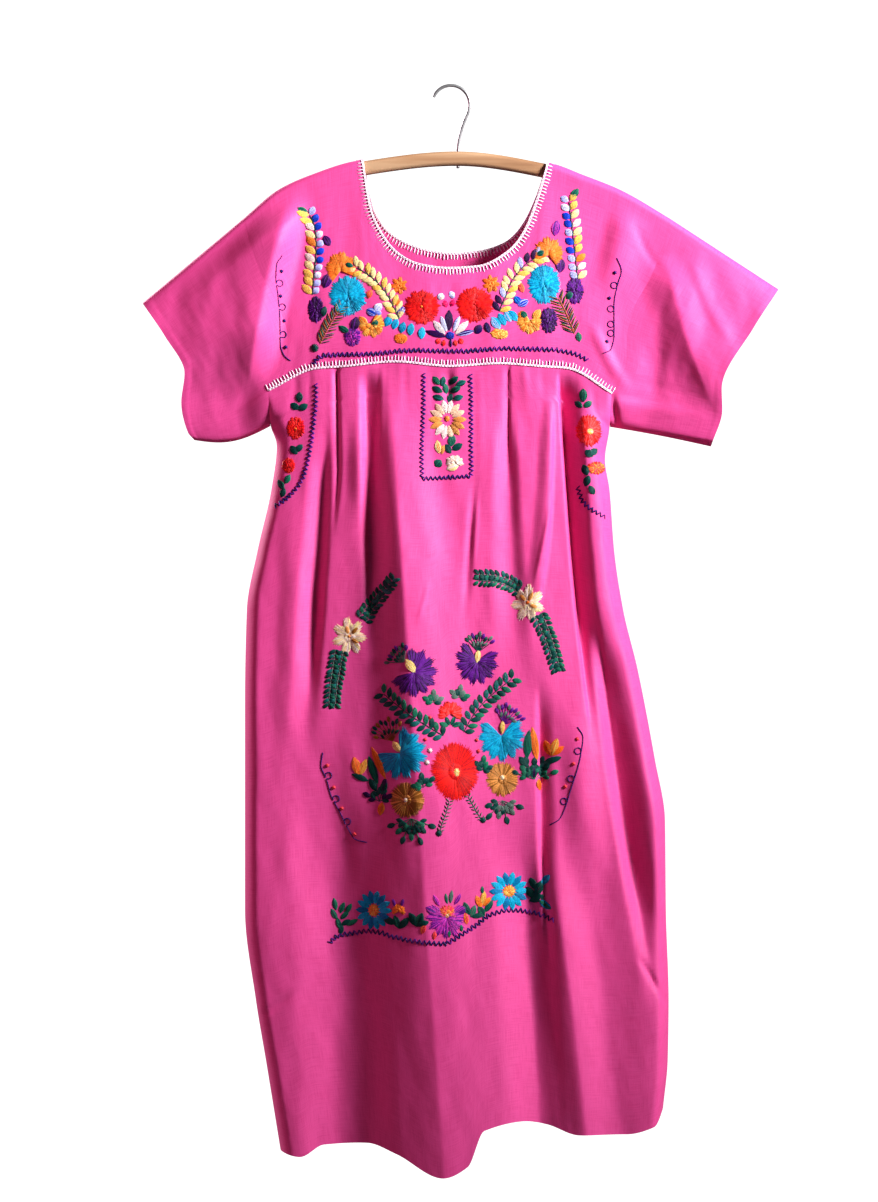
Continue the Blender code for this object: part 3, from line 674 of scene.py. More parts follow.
# Sleeves
# Short wide sleeves of the same cotton, each one tube sewn into its armhole and hanging
# nearly flat from the end of the bar, with a narrow turned hem at the cuff.
CUFF = {
    "left": (  # share of the way down, x, down
        (0, -338, 238), (0.26, -312, 276), (0.48, -291, 315), (0.68, -295, 348),
        (0.90, -288, 380), (1, -281, 388),
    ),
    "right": (  # share of the way down, x, down
        (0, 361, 223), (0.29, 332, 267), (0.66, 298, 332), (0.80, 299, 356), (1, 287, 395),
    ),
}
CUFF_DEPTH = {"front": 21, "back": 19}
CUFF_START, CUFF_FULLNESS = 0.85, 0.7  # shape of the open cuff, a lens fuller at the top
SLEEVE_DROOP = {"left": 9, "right": -1}  # how far the underside hangs below a straight line
UNDERARM_SEAM, UNDERARM_POWER = 1.0, 12  # gap to the skirt under the arm, how late it opens
# Share of the height over which folds fade to the bottom, and how fast that sets in
BOTTOM_FOLD_EASE, FOLDS_GAIN = 0.30, 4
# The lower part of the sleeve is pressed flatter than the rest, away from the armhole
PRESSED_FROM, PRESSED_DEPTH, PRESSED_GAIN = 0.35, 0.42, 2.5
SLEEVE_CRUMPLE = 1.6  # height of the crumples against those of the yoke
SLEEVE_RINGS = 64
CUFF_HEM_FROM, CUFF_HEM_LIFT = 0.93, 0.4  # where the turned hem starts, its height


def armhole_path(side, face):
    """The armhole from the shoulder down to the underarm, along yoke and skirt."""
    table, share = ARMHOLE[side], 0.0 if side == "left" else 1.0
    top = np.array([float(table[0][1])])
    low = np.array([float(table[-1][0])])
    down = yoke_rows(top, through(SHOULDER, top), low, YOKE_ROWS)[:, 0]
    x = through(table, down)
    y = outward(face) * yoke_depth(x, down, face)
    on_yoke = np.stack([x, y, -down], axis=-1)
    lower = skirt_row_shares(face)[1:ARMHOLE_ROWS + 1]
    on_skirt = [skirt_points(np.array([share]), row, face)[0] for row in lower]
    return np.concatenate([on_yoke, np.array(on_skirt)])


def sleeve_face(side, face):
    """Points of one face of a sleeve, ring by ring from the armhole to the cuff."""
    away = -1 if side == "left" else 1
    armhole = armhole_path(side, face)
    length = lengths(armhole)
    share = length / length[-1]
    armhole[:, 0] += away * mix(SEAM, UNDERARM_SEAM, share**UNDERARM_POWER)
    at_armhole = shoulder_lift(armhole[:, 0], -armhole[:, 2], face)
    table = np.array(CUFF[side])
    cuff_x = through(table[:, (0, 1)], share)
    cuff_down = through(table[:, (0, 2)], share)
    lens = np.sin(math.pi * share**CUFF_START)
    cuff_y = outward(face) * CUFF_DEPTH[face] * np.maximum(lens, 0) ** CUFF_FULLNESS
    cuff = np.stack([cuff_x, cuff_y, -cuff_down], axis=-1)
    rings = []
    for ring in range(SLEEVE_RINGS + 1):
        out = ring / SLEEVE_RINGS
        points = mix(armhole, cuff, out)
        points[:, 2] -= SLEEVE_DROOP[side] * math.sin(math.pi * out) * share**2
        pressed = ease((share - PRESSED_FROM) / (1 - PRESSED_FROM))
        pressed *= ease(out * PRESSED_GAIN)
        points[:, 1] *= mix(1, PRESSED_DEPTH, pressed)
        x, down = points[:, 0], -points[:, 2]
        below = down - through(SHOULDER, x)
        gained = ease(out * FOLDS_GAIN)
        near_bottom = mix(1, ease((1 - share) / BOTTOM_FOLD_EASE), gained)
        lift = shoulder_lift(x, down, face) * near_bottom - at_armhole * (1 - out)
        small = crumple(x, down, side + face) * ease(below / SHOULDER_FOLD_EASE)
        lift += SLEEVE_CRUMPLE * small * near_bottom * gained
        lift += CUFF_HEM_LIFT * ease((out - CUFF_HEM_FROM) * SLEEVE_RINGS)
        points[:, 1] += outward(face) * lift
        rings.append(points)
    return np.stack(rings)


def sleeve_grid(side):
    """Both faces of a sleeve joined at the shoulder fold and under the arm."""
    front, back = sleeve_face(side, FRONT), sleeve_face(side, BACK)
    ridge, bottom = (front[:, :1] + back[:, :1]) / 2, (front[:, -1:] + back[:, -1:]) / 2
    around = [ridge, front[:, 1:-1], bottom, back[:, -2:0:-1], ridge]
    return np.concatenate(around, axis=1)


sleeve_left = sew_sheet("sleeve_left_cloth", ((sleeve_grid("left"), False),),
                        cotton, "sleeve_left")
sleeve_right = sew_sheet("sleeve_right_cloth", ((sleeve_grid("right"), True),),
                         cotton, "sleeve_right")

# White blanket stitch
# Thick white cotton thread sewn by hand round the neck and along the lower edge of the
# yoke: a rim that lies on the edge, and short bars that hold it to the cloth.
THREADS = {  # colour of the thread as the eye sees it, red, green, blue
    "white": (250, 226, 240),
    "red": (232, 40, 36),
    "deep_red": (196, 24, 40),
    "coral": (240, 80, 84),
    "hot_pink": (236, 30, 110),
    "orange": (252, 148, 62),
    "deep_orange": (240, 114, 46),
    "yellow": (255, 206, 108),
    "cream": (255, 234, 172),
    "blush": (255, 214, 186),
    "pale": (255, 230, 226),
    "brown": (150, 98, 44),
    "gold": (214, 148, 84),
    "turquoise": (24, 172, 208),
    "deep_turquoise": (8, 128, 176),
    "blue": (30, 70, 190),
    "navy": (44, 26, 104),
    "lilac": (182, 184, 240),
    "pale_lilac": (224, 222, 250),
    "purple": (104, 34, 138),
    "dark_purple": (56, 14, 74),
    "magenta": (196, 60, 172),
    "dark_green": (16, 76, 72),
    "green": (34, 116, 92),
    "teal": (34, 106, 104),
    "grey_green": (96, 118, 110),
}
THREAD_LIT, PALEST, EYE_POWER = 1.18, 0.93, 2.2
THREAD_DARK, THREAD_BRIGHT = 0.76, 1.12  # patches of a thread against its own colour
# Radii of the threads, and the distance between stitches that lie side by side
FLOSS, THIN_FLOSS, SPACING = 0.52, 0.42, 0.86
RIM_YARN, RIM_STEP, RIM_RISE, RIM_OVERLAP = 0.78, 1.1, 0.4, 0.15
RAY_YARN, RAY_RISE, RAY_LENGTH, RAY_PITCH = 0.8, 0.2, 7.6, 3.6
RAY_LEAN = 0.5
UNEVEN = {  # shares between which the length or lean of hand work is drawn
    "ray": (0.86, 1.08), "oval": (0.94, 1.06), "ring": (0.88, 1.04), "bush": (0.9, 1.05),
    "leaf": (0.9, 1.08), "lean": (0.8, 1.2), "zigzag": (0.8, 1.15), "fan": (0.7, 0.9),
}
# First guess of a place on the skirt, how near it comes to the side, rounds of the search
SKIRT_TOP, SKIRT_LENGTH, EDGE_SHARE, SEARCH_ROUNDS = 310, 850, 0.001, 8
YOKE_REACH = 0.5  # stitches this little below the yoke's edge still lie on the yoke
SHOULDER_GAP = 0.02  # stitches keep this far below the shoulder line
SLOPE_STEP = 0.05  # distance over which the cloth's slope is measured
NECK_POINTS = 40
ABOVE_EDGE = 1.2  # from the yoke's edge up to the rim of its stitch
hand = random.Random("needle")
thread_finish = {}


def uneven(kind):
    return hand.uniform(*UNEVEN[kind])


def thread(color):
    """Shiny twisted cotton floss of one of the named colours."""
    if color not in thread_finish:
        bare = [(part / 255) ** EYE_POWER for part in THREADS[color]]
        lit = min(THREAD_LIT, PALEST / max(bare))
        seen = [lit * part for part in bare]
        made, tree, shader, place = new_material("thread_" + color, seen, 0.5,
                                                 {"Specular IOR Level": 0.35})
        patches = add_noise(tree, place, 700, 3)
        dark = [THREAD_DARK * part for part in seen]
        bright = [min(THREAD_BRIGHT * part, 1) for part in seen]
        color_between(tree, shader, patches, 0.35, 0.65, (dark, seen, bright))
        add_bump(tree, shader, add_noise(tree, place, 2600, 2), 0.4, 0.0002)
        thread_finish[color] = made
    return thread_finish[color]


def skirt_depth(x, down, face):
    """Distance of a skirt panel from the middle plane, for places seen from the front."""
    share = (x - YOKE_EDGE[0][0]) / (YOKE_EDGE[-1][0] - YOKE_EDGE[0][0])
    row = (down - SKIRT_TOP) / SKIRT_LENGTH
    for _ in range(SEARCH_ROUNDS):
        left, right, _, top_down, hem_down = skirt_frame(share, row, face)
        share = np.clip((x - left) / (right - left), EDGE_SHARE, 1 - EDGE_SHARE)
        row = np.clip((down - top_down) / (hem_down - top_down), 0, 1)
    return np.abs(skirt_points(share, row, face)[:, 1])


SLEEVE_TREES = {}
for side, sleeve in (("left", sleeve_left), ("right", sleeve_right)):
    SLEEVE_TREES[side] = BVHTree.FromPolygons([vert.co for vert in sleeve.data.vertices],
                                              [face.vertices for face in sleeve.data.polygons])


def cloth_depth(x, down, face):
    """Distance of the cloth from the middle plane, on yoke, sleeve or skirt."""
    on_yoke = down < through(YOKE_EDGE, x) + YOKE_REACH
    depth = np.where(on_yoke, yoke_depth(x, down, face), skirt_depth(x, down, face))
    for side, away in (("left", -1), ("right", 1)):
        past_armhole = on_yoke & (away * (x - through(ARMHOLE[side], down)) > SEAM)
        for k in np.flatnonzero(past_armhole):
            start = Vector((x[k] * MM, outward(face), -down[k] * MM))
            hit = SLEEVE_TREES[side].ray_cast(start, Vector((0, -outward(face), 0)))[0]
            depth[k] = abs(hit.y) / MM if hit else depth[k]
    return depth


def sew(name, strands, face=FRONT, inside=False):
    """Lays strands (colour, thickness, points of x, down, lift, thickness share) on the
    cloth and makes them one piece of round threads."""
    points = np.concatenate([strand[2] for strand in strands])
    x, down, lift, share = points.T
    down = np.maximum(down, through(SHOULDER, x) + SHOULDER_GAP)
    depth = cloth_depth(x, down, face)
    slope_x = (cloth_depth(x + SLOPE_STEP, down, face) - depth) / SLOPE_STEP
    slope_down = (cloth_depth(x, down + SLOPE_STEP, face) - depth) / SLOPE_STEP
    normal = np.stack([-slope_x, np.full(len(x), outward(face)), slope_down], axis=-1)
    normal /= np.linalg.norm(normal, axis=1)[:, None]
    stand = (WALL / 2 + lift) * (-1 if inside else 1)
    place = np.stack([x, outward(face) * depth, -down], axis=-1) + normal * stand[:, None]
    curve = bpy.data.curves.new(name, "CURVE")
    curve.dimensions = "3D"
    curve.bevel_depth = MM
    curve.bevel_resolution = 0
    curve.use_fill_caps = True
    colors = sorted({strand[0] for strand in strands})
    for color in colors:
        curve.materials.append(thread(color))
    at = 0
    for color, thick, path in strands:
        spline = curve.splines.new("POLY")
        spline.points.add(len(path) - 1)
        here = slice(at, at + len(path))
        spots = np.ones((len(path), 4))
        spots[:, :3] = place[here] * MM
        spline.points.foreach_set("co", spots.ravel())
        spline.points.foreach_set("radius", share[here] * thick)
        spline.material_index = colors.index(color)
        at += len(path)
    holder = bpy.data.objects.new(name, curve)
    mesh = bpy.data.meshes.new_from_object(holder)
    mesh.name = name
    bpy.data.objects.remove(holder)
    add_piece(name, mesh)


STITCH_SHAPE = (  # share of the length, lift share, thickness share, bow share
    (0, 0.25, 0.55, 0),
    (0.2, 0.8, 0.95, 0.66),
    (0.5, 1, 1, 1),
    (0.8, 0.75, 0.95, 0.66),
    (1, 0, 0.5, 0),
)


def stitch(color, start, end, rise=0.5, thick=FLOSS, bow=(0, 0)):
    """One stitch that leaves the cloth at one end and goes in at the other, with its
    middle pushed aside by the bow."""
    path = [(mix(start[0], end[0], along) + bow[0] * aside,
             mix(start[1], end[1], along) + bow[1] * aside, rise * up, size)
            for along, up, size, aside in STITCH_SHAPE]
    return color, thick, np.array(path)


def even_steps(path, pitch):
    """Points at even steps along a smooth path, and the unit vector to its right."""
    path = np.array(path, dtype=float)
    whole = lengths(path)[-1]
    at = np.linspace(0, whole, max(2, round(whole / pitch) + 1))
    if len(path) > 2:
        spots = np.stack(smooth_path(path, at), axis=1)
    else:
        spots = mix(path[0], path[1], (at / whole)[:, None])
    ahead = np.gradient(spots, axis=0)
    ahead /= np.linalg.norm(ahead, axis=1)[:, None]
    return spots, np.stack([-ahead[:, 1], ahead[:, 0]], axis=1)


def blanket_stitch(path, side):
    """The rim and the bars of a blanket stitch along an edge, bars to the given side."""
    spots, right = even_steps(path, RAY_PITCH)
    strands = []
    for k, (spot, across) in enumerate(zip(spots, right)):
        reach = RAY_LENGTH * uneven("ray")
        lean = hand.uniform(-RAY_LEAN, RAY_LEAN)
        end = spot + side * across * reach + lean * np.array([across[1], -across[0]])
        strands.append(stitch("white", spot, end, RAY_RISE, RAY_YARN))
        if k:
            for aside in (0, RIM_STEP):
                rim = [part + side * across * aside for part in (spots[k - 1], spot)]
                strands.append(stitch("white", mix(*rim, -RIM_OVERLAP),
                                      mix(*rim, 1 + RIM_OVERLAP), RIM_RISE, RIM_YARN))
    return strands


for face in (FRONT, BACK):
    neck_path = np.stack(neck_line(face, np.linspace(0, 1, NECK_POINTS)), axis=1)
    sew("neck_stitch_" + face, blanket_stitch(neck_path, 1), face)
    sew("neck_stitch_inside_" + face, blanket_stitch(neck_path, 1), face, True)
edge_path = [(x, down - ABOVE_EDGE) for x, down in YOKE_EDGE]
sew("yoke_edge_stitch", blanket_stitch(edge_path, -1))

# Flowers of the yoke
# Satin stitch in cotton floss: two red flowers beside a fan in the middle, and on each side
# a turquoise flower, cream sprigs, orange and purple flowers and a curly line.
MOTIF_GROW = 1.12  # stitches end inside the outline of a motif, so it is sewn larger
UNDER, OVER = 0.35, 1.0  # rise of stitches on bare cloth, and on other stitches
# An oval's sides are shorter by a share, its middle is domed, and its stitches bow outward
OVAL_ROUND, OVAL_DOME, OVAL_SPREAD = 0.2, 0.4, 0.35
RING_SPACING, RING_PLACE = 1.08, (0.3, 0.7)
# Round flowers: a full disc, a pointed star, petals to one side, petals to all but one
# side, and the long rays of a sun. A later ring lies over the one before it.
RINGS = {  # inner and outer end of each ring of stitches, petals, notch, rise, arc
    "disc": ((0.40, 0.98, 13, 0.08, 0.4), (0.14, 0.72, 9, 0.12, 0.6), (0, 0.42, 5, 0.12, 0.8)),
    "star": ((0.1, 1.1, 7, 0.42, 0.5), (0, 0.5, 7, 0.3, 0.8)),
    "half": ((0.12, 1.06, 6, 0.16, 0.7, 250), (0.02, 0.6, 4, 0.16, 1.1, 250)),
    "open": ((0.2, 1.06, 9, 0.24, 0.45, 275), (0, 0.66, 7, 0.24, 0.7, 265)),
    "sun": ((0.16, 1.03, 1, 0, 0.45), (0, 0.34, 1, 0, 0.8)),
}
DAISY_PETALS, PETAL_OUT, PETAL_WIDE, PETAL_TALL = 14, 0.34, 0.17, 0.36
# A bush's stems spread this many degrees to both sides, a long and a short one in turn
BUSH_SPREAD, BUSH_PITCH, BUSH_NARROW, BUSH_OUT = 72, 6, 0.74, (0.72, 0.58)
TIP_LEAF, HALF_WAY_LEAF = (5.6, 9.2), (4.6, 7.8)
HALF_WAY, HALF_WAY_ASIDE, HALF_WAY_TURN = 0.55, 2.4, 34
LEAF_OUT, LEAF_GAP = 0.55, 0.4  # from the stem to a leaf's middle: share of its length, gap
STEM_RISE = 0.4
KNOT_PITCH, KNOT_RISE, KNOT_THREAD = 1.3, 1.1, 0.7
STEM_PITCH, STEM_OVERLAP, STEM_ASIDE = 3.2, 1.2, 0.2
ZIGZAG_COLORS, ZIGZAG_THREAD = ("navy", "navy", "purple"), 0.72
CURL_PITCH, CURL_THREAD, CURL_LOOP, CURL_DOT, CURL_TURNS = 2, 0.55, 3.6, 4, 12
CURL_NEAR = 0.1  # least distance taken from the line to the place of a loop


def oval(colors, x, down, wide, tall, turn, base=UNDER):
    """Stitches side by side along a leaf or petal with two rounded ends."""
    angle = math.radians(turn)
    along = np.array([math.sin(angle), -math.cos(angle)])
    across = np.array([math.cos(angle), math.sin(angle)])
    count = max(1, round(wide / SPACING))
    strands = []
    for k in range(count):
        u = (k + 0.5) / count * 2 - 1
        half = tall / 2 * (1 - OVAL_ROUND * u * u) * uneven("oval")
        aside = across * u * wide / 2
        middle = np.array([x, down]) + OVAL_SPREAD * aside
        strands.append(stitch(hand.choice(colors), middle - along * half,
                              middle + along * half, base + OVAL_DOME * (1 - u * u), FLOSS,
                              (1 - OVAL_SPREAD) * aside))
    return strands


def over(colors, x, down, wide, tall, turn):
    """A leaf or petal that lies on other stitches."""
    return oval(colors, x, down, wide, tall, turn, OVER)


def ring(colors, x, down, wide, tall, turn, inner, outer, petals, notch, rise, arc=360):
    """Stitches that run out from the middle of a flower, with notches between petals."""
    size = np.array([wide, tall]) / 2
    around = math.radians(arc) * outer * size.mean()
    count = max(4, round(around / SPACING / RING_SPACING))
    strands = []
    for k in range(count):
        part = (k + hand.uniform(*RING_PLACE)) / count
        angle = math.radians(turn + arc * (part - 0.5))
        ray = np.array([math.sin(angle), -math.cos(angle)]) * size
        peak = abs(math.sin(math.pi * part * petals))
        reach = outer * (1 - notch * (1 - peak)) * uneven("ring")
        middle = np.array([x, down])
        strands.append(stitch(hand.choice(colors), middle + ray * inner,
                              middle + ray * reach, rise))
    return strands


def daisy(colors, x, down, wide, tall, turn):
    """Long round-ended petals laid side by side round an open middle."""
    strands = []
    size = (wide + tall) / 2
    for k in range(DAISY_PETALS):
        angle = math.tau * (k + 0.5) / DAISY_PETALS
        strands += oval((colors[k % len(colors)],), x + PETAL_OUT * wide * math.sin(angle),
                        down - PETAL_OUT * tall * math.cos(angle), PETAL_WIDE * size,
                        PETAL_TALL * size, math.degrees(angle))
    return strands


def bush(colors, x, down, wide, tall, turn):
    """A tuft: thin stems from one foot, with a leaf at each end and some half way."""
    strands = []
    stems = max(3, round(wide / BUSH_PITCH))
    for k in range(stems):
        angle = math.radians(turn + mix(-BUSH_SPREAD, BUSH_SPREAD, k / (stems - 1)))
        out = tall * BUSH_OUT[k % 2] * uneven("bush")
        tip = (x + math.sin(angle) * out * BUSH_NARROW * wide / tall,
               down - math.cos(angle) * out)
        heading = math.degrees(math.atan2(tip[0] - x, down - tip[1]))
        strands.append(stitch(colors[-1], (x, down), tip, STEM_RISE, THIN_FLOSS))
        strands += oval((hand.choice(colors),), *tip, *TIP_LEAF, heading)
        for side in (-1, 1):
            aside = HALF_WAY_ASIDE * side
            strands += oval((hand.choice(colors),),
                            mix(x, tip[0], HALF_WAY) + aside * math.cos(angle),
                            mix(down, tip[1], HALF_WAY) + aside * math.sin(angle),
                            *HALF_WAY_LEAF, heading + HALF_WAY_TURN * side)
    return strands


def knot(colors, x, down, wide, tall, turn):
    """A small round knot of a few crossed stitches."""
    strands = []
    middle = np.array([x, down])
    count = max(3, round(wide / KNOT_PITCH))
    for k in range(count):
        angle = math.radians(turn + 180 * k / count)
        reach = np.array([math.sin(angle) * wide, -math.cos(angle) * tall]) / 2
        strands.append(stitch(hand.choice(colors), middle - reach, middle + reach,
                              KNOT_RISE, KNOT_THREAD))
    return strands


def stem(colors, path, thick=FLOSS, pitch=STEM_PITCH):
    """A line of short stitches, each starting beside the end of the one before."""
    spots, right = even_steps(path, pitch)
    strands = []
    for k in range(len(spots) - 1):
        past = mix(spots[k], spots[k + 1], STEM_OVERLAP)
        aside = right[k] * STEM_ASIDE
        strands.append(stitch(hand.choice(colors), spots[k] + aside, past - aside, UNDER,
                              thick))
    return strands


def sprig(stem_colors, path, pitch, leaf, right_colors, left_colors, lean=48):
    """Leaves in pairs along a stem. The colours of each side go round in their order."""
    strands = stem(stem_colors, path)
    spots, right = even_steps(path, pitch)
    wide, right_tall, left_tall = leaf
    for k, (spot, across) in enumerate(zip(spots, right)):
        for side, tall, colors in ((1, right_tall, right_colors), (-1, left_tall, left_colors)):
            if not colors:
                continue
            heading = math.degrees(math.atan2(across[0] * side, -across[1] * side))
            turn = heading - side * lean * uneven("lean")
            angle = math.radians(turn)
            reach = tall * LEAF_OUT + LEAF_GAP
            x = spot[0] + math.sin(angle) * reach
            down = spot[1] - math.cos(angle) * reach
            color = colors[k % len(colors)]
            strands += oval((color,), x, down, wide, tall * uneven("leaf"), turn)
    return strands


def zigzag(path, pitch, height, colors=ZIGZAG_COLORS):
    """Slanting stitches to and fro across a line."""
    spots, right = even_steps(path, pitch / 2)
    strands = []
    for k in range(len(spots) - 1):
        side = height / 2 * (1 if k % 2 else -1)
        start = spots[k] + right[k] * side * uneven("zigzag")
        end = spots[k + 1] - right[k + 1] * side * uneven("zigzag")
        strands.append(stitch(hand.choice(colors), start, end, thick=ZIGZAG_THREAD))
    return strands


def curl(path, loops, dot_color, dots):
    """A thin navy line that turns once round at each loop, with knots beside it."""
    spots, _ = even_steps(path, CURL_PITCH)
    turning = {}
    for loop in loops:
        turning[np.hypot(*(spots - loop).T).argmin()] = np.array(loop)
    line = []
    for k, spot in enumerate(spots):
        line.append(spot)
        if k in turning:
            toward = (turning[k] - spot) / max(math.dist(turning[k], spot), CURL_NEAR)
            middle = spot + toward * CURL_LOOP
            start = math.atan2(-toward[1], -toward[0])
            for step in range(1, CURL_TURNS):
                angle = start + math.tau * step / CURL_TURNS
                line.append(middle + CURL_LOOP * np.array([math.cos(angle), math.sin(angle)]))
    strands = stem(("navy",), line, CURL_THREAD, CURL_PITCH)
    for x, down in dots:
        strands += knot((dot_color,), x, down, CURL_DOT, CURL_DOT, 0)
    return strands


MOTIFS = {"oval": oval, "over": over, "knot": knot, "daisy": daisy, "bush": bush}


def embroider(table):
    """Stitches of a table. Each motif is sewn a little larger than its size there."""
    strands = []
    for kind, colors, *places in table:
        for x, down, wide, tall, turn in places:
            drawn = (colors.split(), x, down, wide * MOTIF_GROW, tall * MOTIF_GROW, turn)
            if kind in MOTIFS:
                strands += MOTIFS[kind](*drawn)
            for row in RINGS.get(kind, ()):
                strands += ring(*drawn, *row)
    return strands


def embroider_leaves(table, lean):
    """Stitches of a table of sprigs."""
    strands = []
    for stem_color, path, pitch, leaf, right_colors, left_colors in table:
        strands += sprig((stem_color,), path, pitch, leaf, right_colors.split(),
                         left_colors.split(), lean)
    return strands


YOKE_FLOWERS = (  # kind, colours, then x, down, width, height and turn of each
    # Middle
    ("disc", "red red deep_red", (-31, 244, 37, 36, 0), (27, 241, 39, 37, 0)),
    ("knot", "orange", (-31, 243, 3, 3, 0)),
    ("knot", "deep_red", (27, 240, 3, 3, 0)),
    ("oval", "pale pale_lilac", (-10, 232, 7, 7, 20)),
    ("oval", "pale_lilac lilac", (2, 230, 8, 6, 60)),
    ("oval", "hot_pink", (-5, 240, 5, 7, -20), (3, 239, 5, 7, 20)),
    ("oval", "pale_lilac pale", (-12, 266, 7, 17, -42)),
    ("oval", "pale_lilac lilac", (-7, 262, 5, 16, -20), (7, 262, 5, 16, 22)),
    ("oval", "pale_lilac pale", (13, 266, 7, 17, 45)),
    ("oval", "navy dark_purple", (-16, 273, 6, 20, -74)),
    ("oval", "navy lilac", (17, 272, 5, 18, 76)),
    ("oval", "dark_purple navy", (-1, 258, 8, 20, 0)),
    ("disc", "blue blue navy", (0, 275, 9, 8, 0)),
    ("oval", "navy", (1, 283, 2, 8, 0)),
    ("oval", "coral red", (-13, 281, 5, 6, 30), (-7, 283, 4, 6, 10), (6, 283, 4, 6, -10),
     (12, 281, 5, 6, -30)),
    # Left side
    ("half", "orange orange deep_orange", (-120, 203, 30, 36, -14)),
    ("disc", "turquoise turquoise deep_turquoise", (-112, 231, 39, 42, 0)),
    ("over", "dark_green green", (-111, 197, 5, 9, -70)),
    ("star", "orange deep_orange", (-56, 220, 16, 17, 10)),
    ("oval", "orange coral", (-88, 229, 6, 9, 20)),
    ("oval", "orange deep_orange", (-57, 239, 4, 9, 12)),
    ("oval", "blue blue lilac", (-86, 249, 8, 11, -62)),
    ("oval", "pale_lilac lilac", (-79, 244, 8, 10, 40)),
    ("oval", "lilac blue", (-79, 250, 6, 7, 90)),
    ("disc", "blue lilac purple", (-54, 247, 9, 9, 0)),
    ("disc", "purple purple magenta", (-107, 276, 18, 20, 0)),
    ("oval", "purple dark_purple", (-104, 262, 9, 14, 12)),
    ("disc", "dark_purple dark_purple purple", (-147, 246, 17, 28, 8)),
    ("oval", "purple dark_purple", (-135, 214, 10, 15, 20), (-135, 170, 8, 11, -30)),
    ("half", "orange orange yellow", (-86, 262, 26, 26, 150)),
    ("oval", "orange yellow", (-95, 259, 7, 12, -40)),
    ("over", "green dark_green", (-82, 261, 6, 9, 40)),
    ("oval", "dark_green green", (-116, 268, 6, 13, -58)),
    ("disc", "orange deep_orange", (-54, 278, 14, 11, 0)),
    ("over", "dark_green", (-138, 248, 6, 10, 10)),
    ("knot", "dark_green", (-148, 288, 8, 8, 0)),
    ("oval", "turquoise deep_turquoise", (-68, 259, 8, 11, 25), (-60, 262, 7, 11, 20),
     (-52, 266, 7, 11, 15)),
    ("oval", "turquoise", (-43, 268, 7, 12, 8), (-31, 272, 7, 12, 4)),
    # Right side
    ("half", "orange orange deep_orange", (108, 186, 30, 36, 12)),
    ("disc", "turquoise turquoise deep_turquoise", (103, 218, 34, 42, 0)),
    ("over", "dark_green green", (100, 184, 6, 11, 68)),
    ("star", "orange deep_orange", (45, 218, 17, 17, -10)),
    ("oval", "orange coral", (78, 222, 6, 10, -20)),
    ("oval", "blue blue lilac", (80, 239, 8, 11, 62)),
    ("oval", "blue turquoise", (74, 236, 7, 10, -40)),
    ("oval", "turquoise lilac", (50, 261, 9, 14, -36)),
    ("oval", "turquoise deep_turquoise", (57, 257, 8, 13, -30)),
    ("oval", "turquoise lilac", (63, 254, 7, 12, -30)),
    ("oval", "turquoise deep_turquoise", (69, 253, 8, 13, -40)),
    ("disc", "orange yellow", (54, 273, 19, 11, 0)),
    ("oval", "dark_purple navy", (31, 268, 8, 10, 30), (41, 266, 6, 11, -20)),
    ("half", "orange orange yellow", (87, 258, 26, 26, 200)),
    ("oval", "orange yellow", (95, 252, 8, 12, 30)),
    ("over", "green dark_green", (81, 252, 6, 9, -40)),
    ("disc", "dark_purple dark_purple purple", (108, 258, 19, 27, 0)),
    ("disc", "purple purple dark_purple", (137, 225, 19, 29, -14)),
    ("over", "dark_green green", (131, 230, 6, 9, 30)),
    ("oval", "purple magenta", (116, 156, 9, 15, 10)),
    ("oval", "purple dark_purple", (121, 197, 10, 14, 0)),
    ("oval", "green dark_green", (141, 276, 6, 9, -10)),
    # Leaves at the tips of the two upright sprigs
    ("oval", "dark_green green", (-162, 136, 5, 11, -70), (137, 118, 7, 12, 34)),
)
LEAF_ROWS = (  # stem colour, path, pitch, leaf width and two lengths, colours on the right,
    # on the left. The leaves point back to the start of the path.
    ("dark_green", ((-102, 200), (-88, 209), (-74, 223), (-65, 237), (-56, 256)), 7.2,
     (6, 12, 12.5), "cream yellow cream cream", "cream cream yellow"),
    ("dark_green", ((-154, 142), (-149, 154), (-147, 168), (-147, 186), (-149, 205),
                    (-151, 229)), 9,
     (7.6, 14, 9.5), "yellow yellow pale cream orange yellow pale cream yellow yellow",
     "lilac blue blue pale_lilac lilac blue blue lilac pale_lilac lilac"),
    ("dark_green", ((97, 188), (86, 194), (74, 206), (66, 218), (61, 231), (54, 248)), 7.4,
     (6.2, 12, 12.5), "lilac dark_purple dark_purple lilac cream cream cream cream",
     "cream yellow cream cream yellow cream"),
    ("dark_green", ((131, 127), (132, 139), (134, 155), (136, 173), (138, 192), (140, 212)),
     9, (7.6, 10.5, 12), "lilac pale_lilac blue blue lilac blue blue lilac lilac",
     "yellow yellow cream pale cream yellow yellow orange pale cream"),
    ("brown", ((-119, 243), (-131, 262), (-142, 283)), 2.6,
     (1.0, 10, 10), "brown dark_green brown green", "dark_green brown grey_green"),
    ("brown", ((119, 234), (128, 252), (136, 272)), 2.5,
     (1.0, 13, 11), "brown dark_green brown green", "dark_green brown grey_green"),
)
strands = embroider(YOKE_FLOWERS)
strands += embroider_leaves(LEAF_ROWS, lean=-42)
strands += curl(((-184, 187), (-190, 197), (-191, 212), (-189, 230), (-187, 255),
                 (-186, 285), (-181, 297), (-175, 302)),
                ((-185, 217), (-184, 243), (-181, 273)),
                "navy", ((-185, 204), (-186, 231), (-182, 258), (-180, 287)))
strands += curl(((183, 189), (188, 203), (184, 218), (180, 240), (180, 272), (176, 290),
                 (168, 294)),
                ((180, 219), (176, 245), (175, 262), (173, 272)),
                "navy", ((181, 205), (175, 233), (172, 281)))
sew("yoke_flowers", strands)
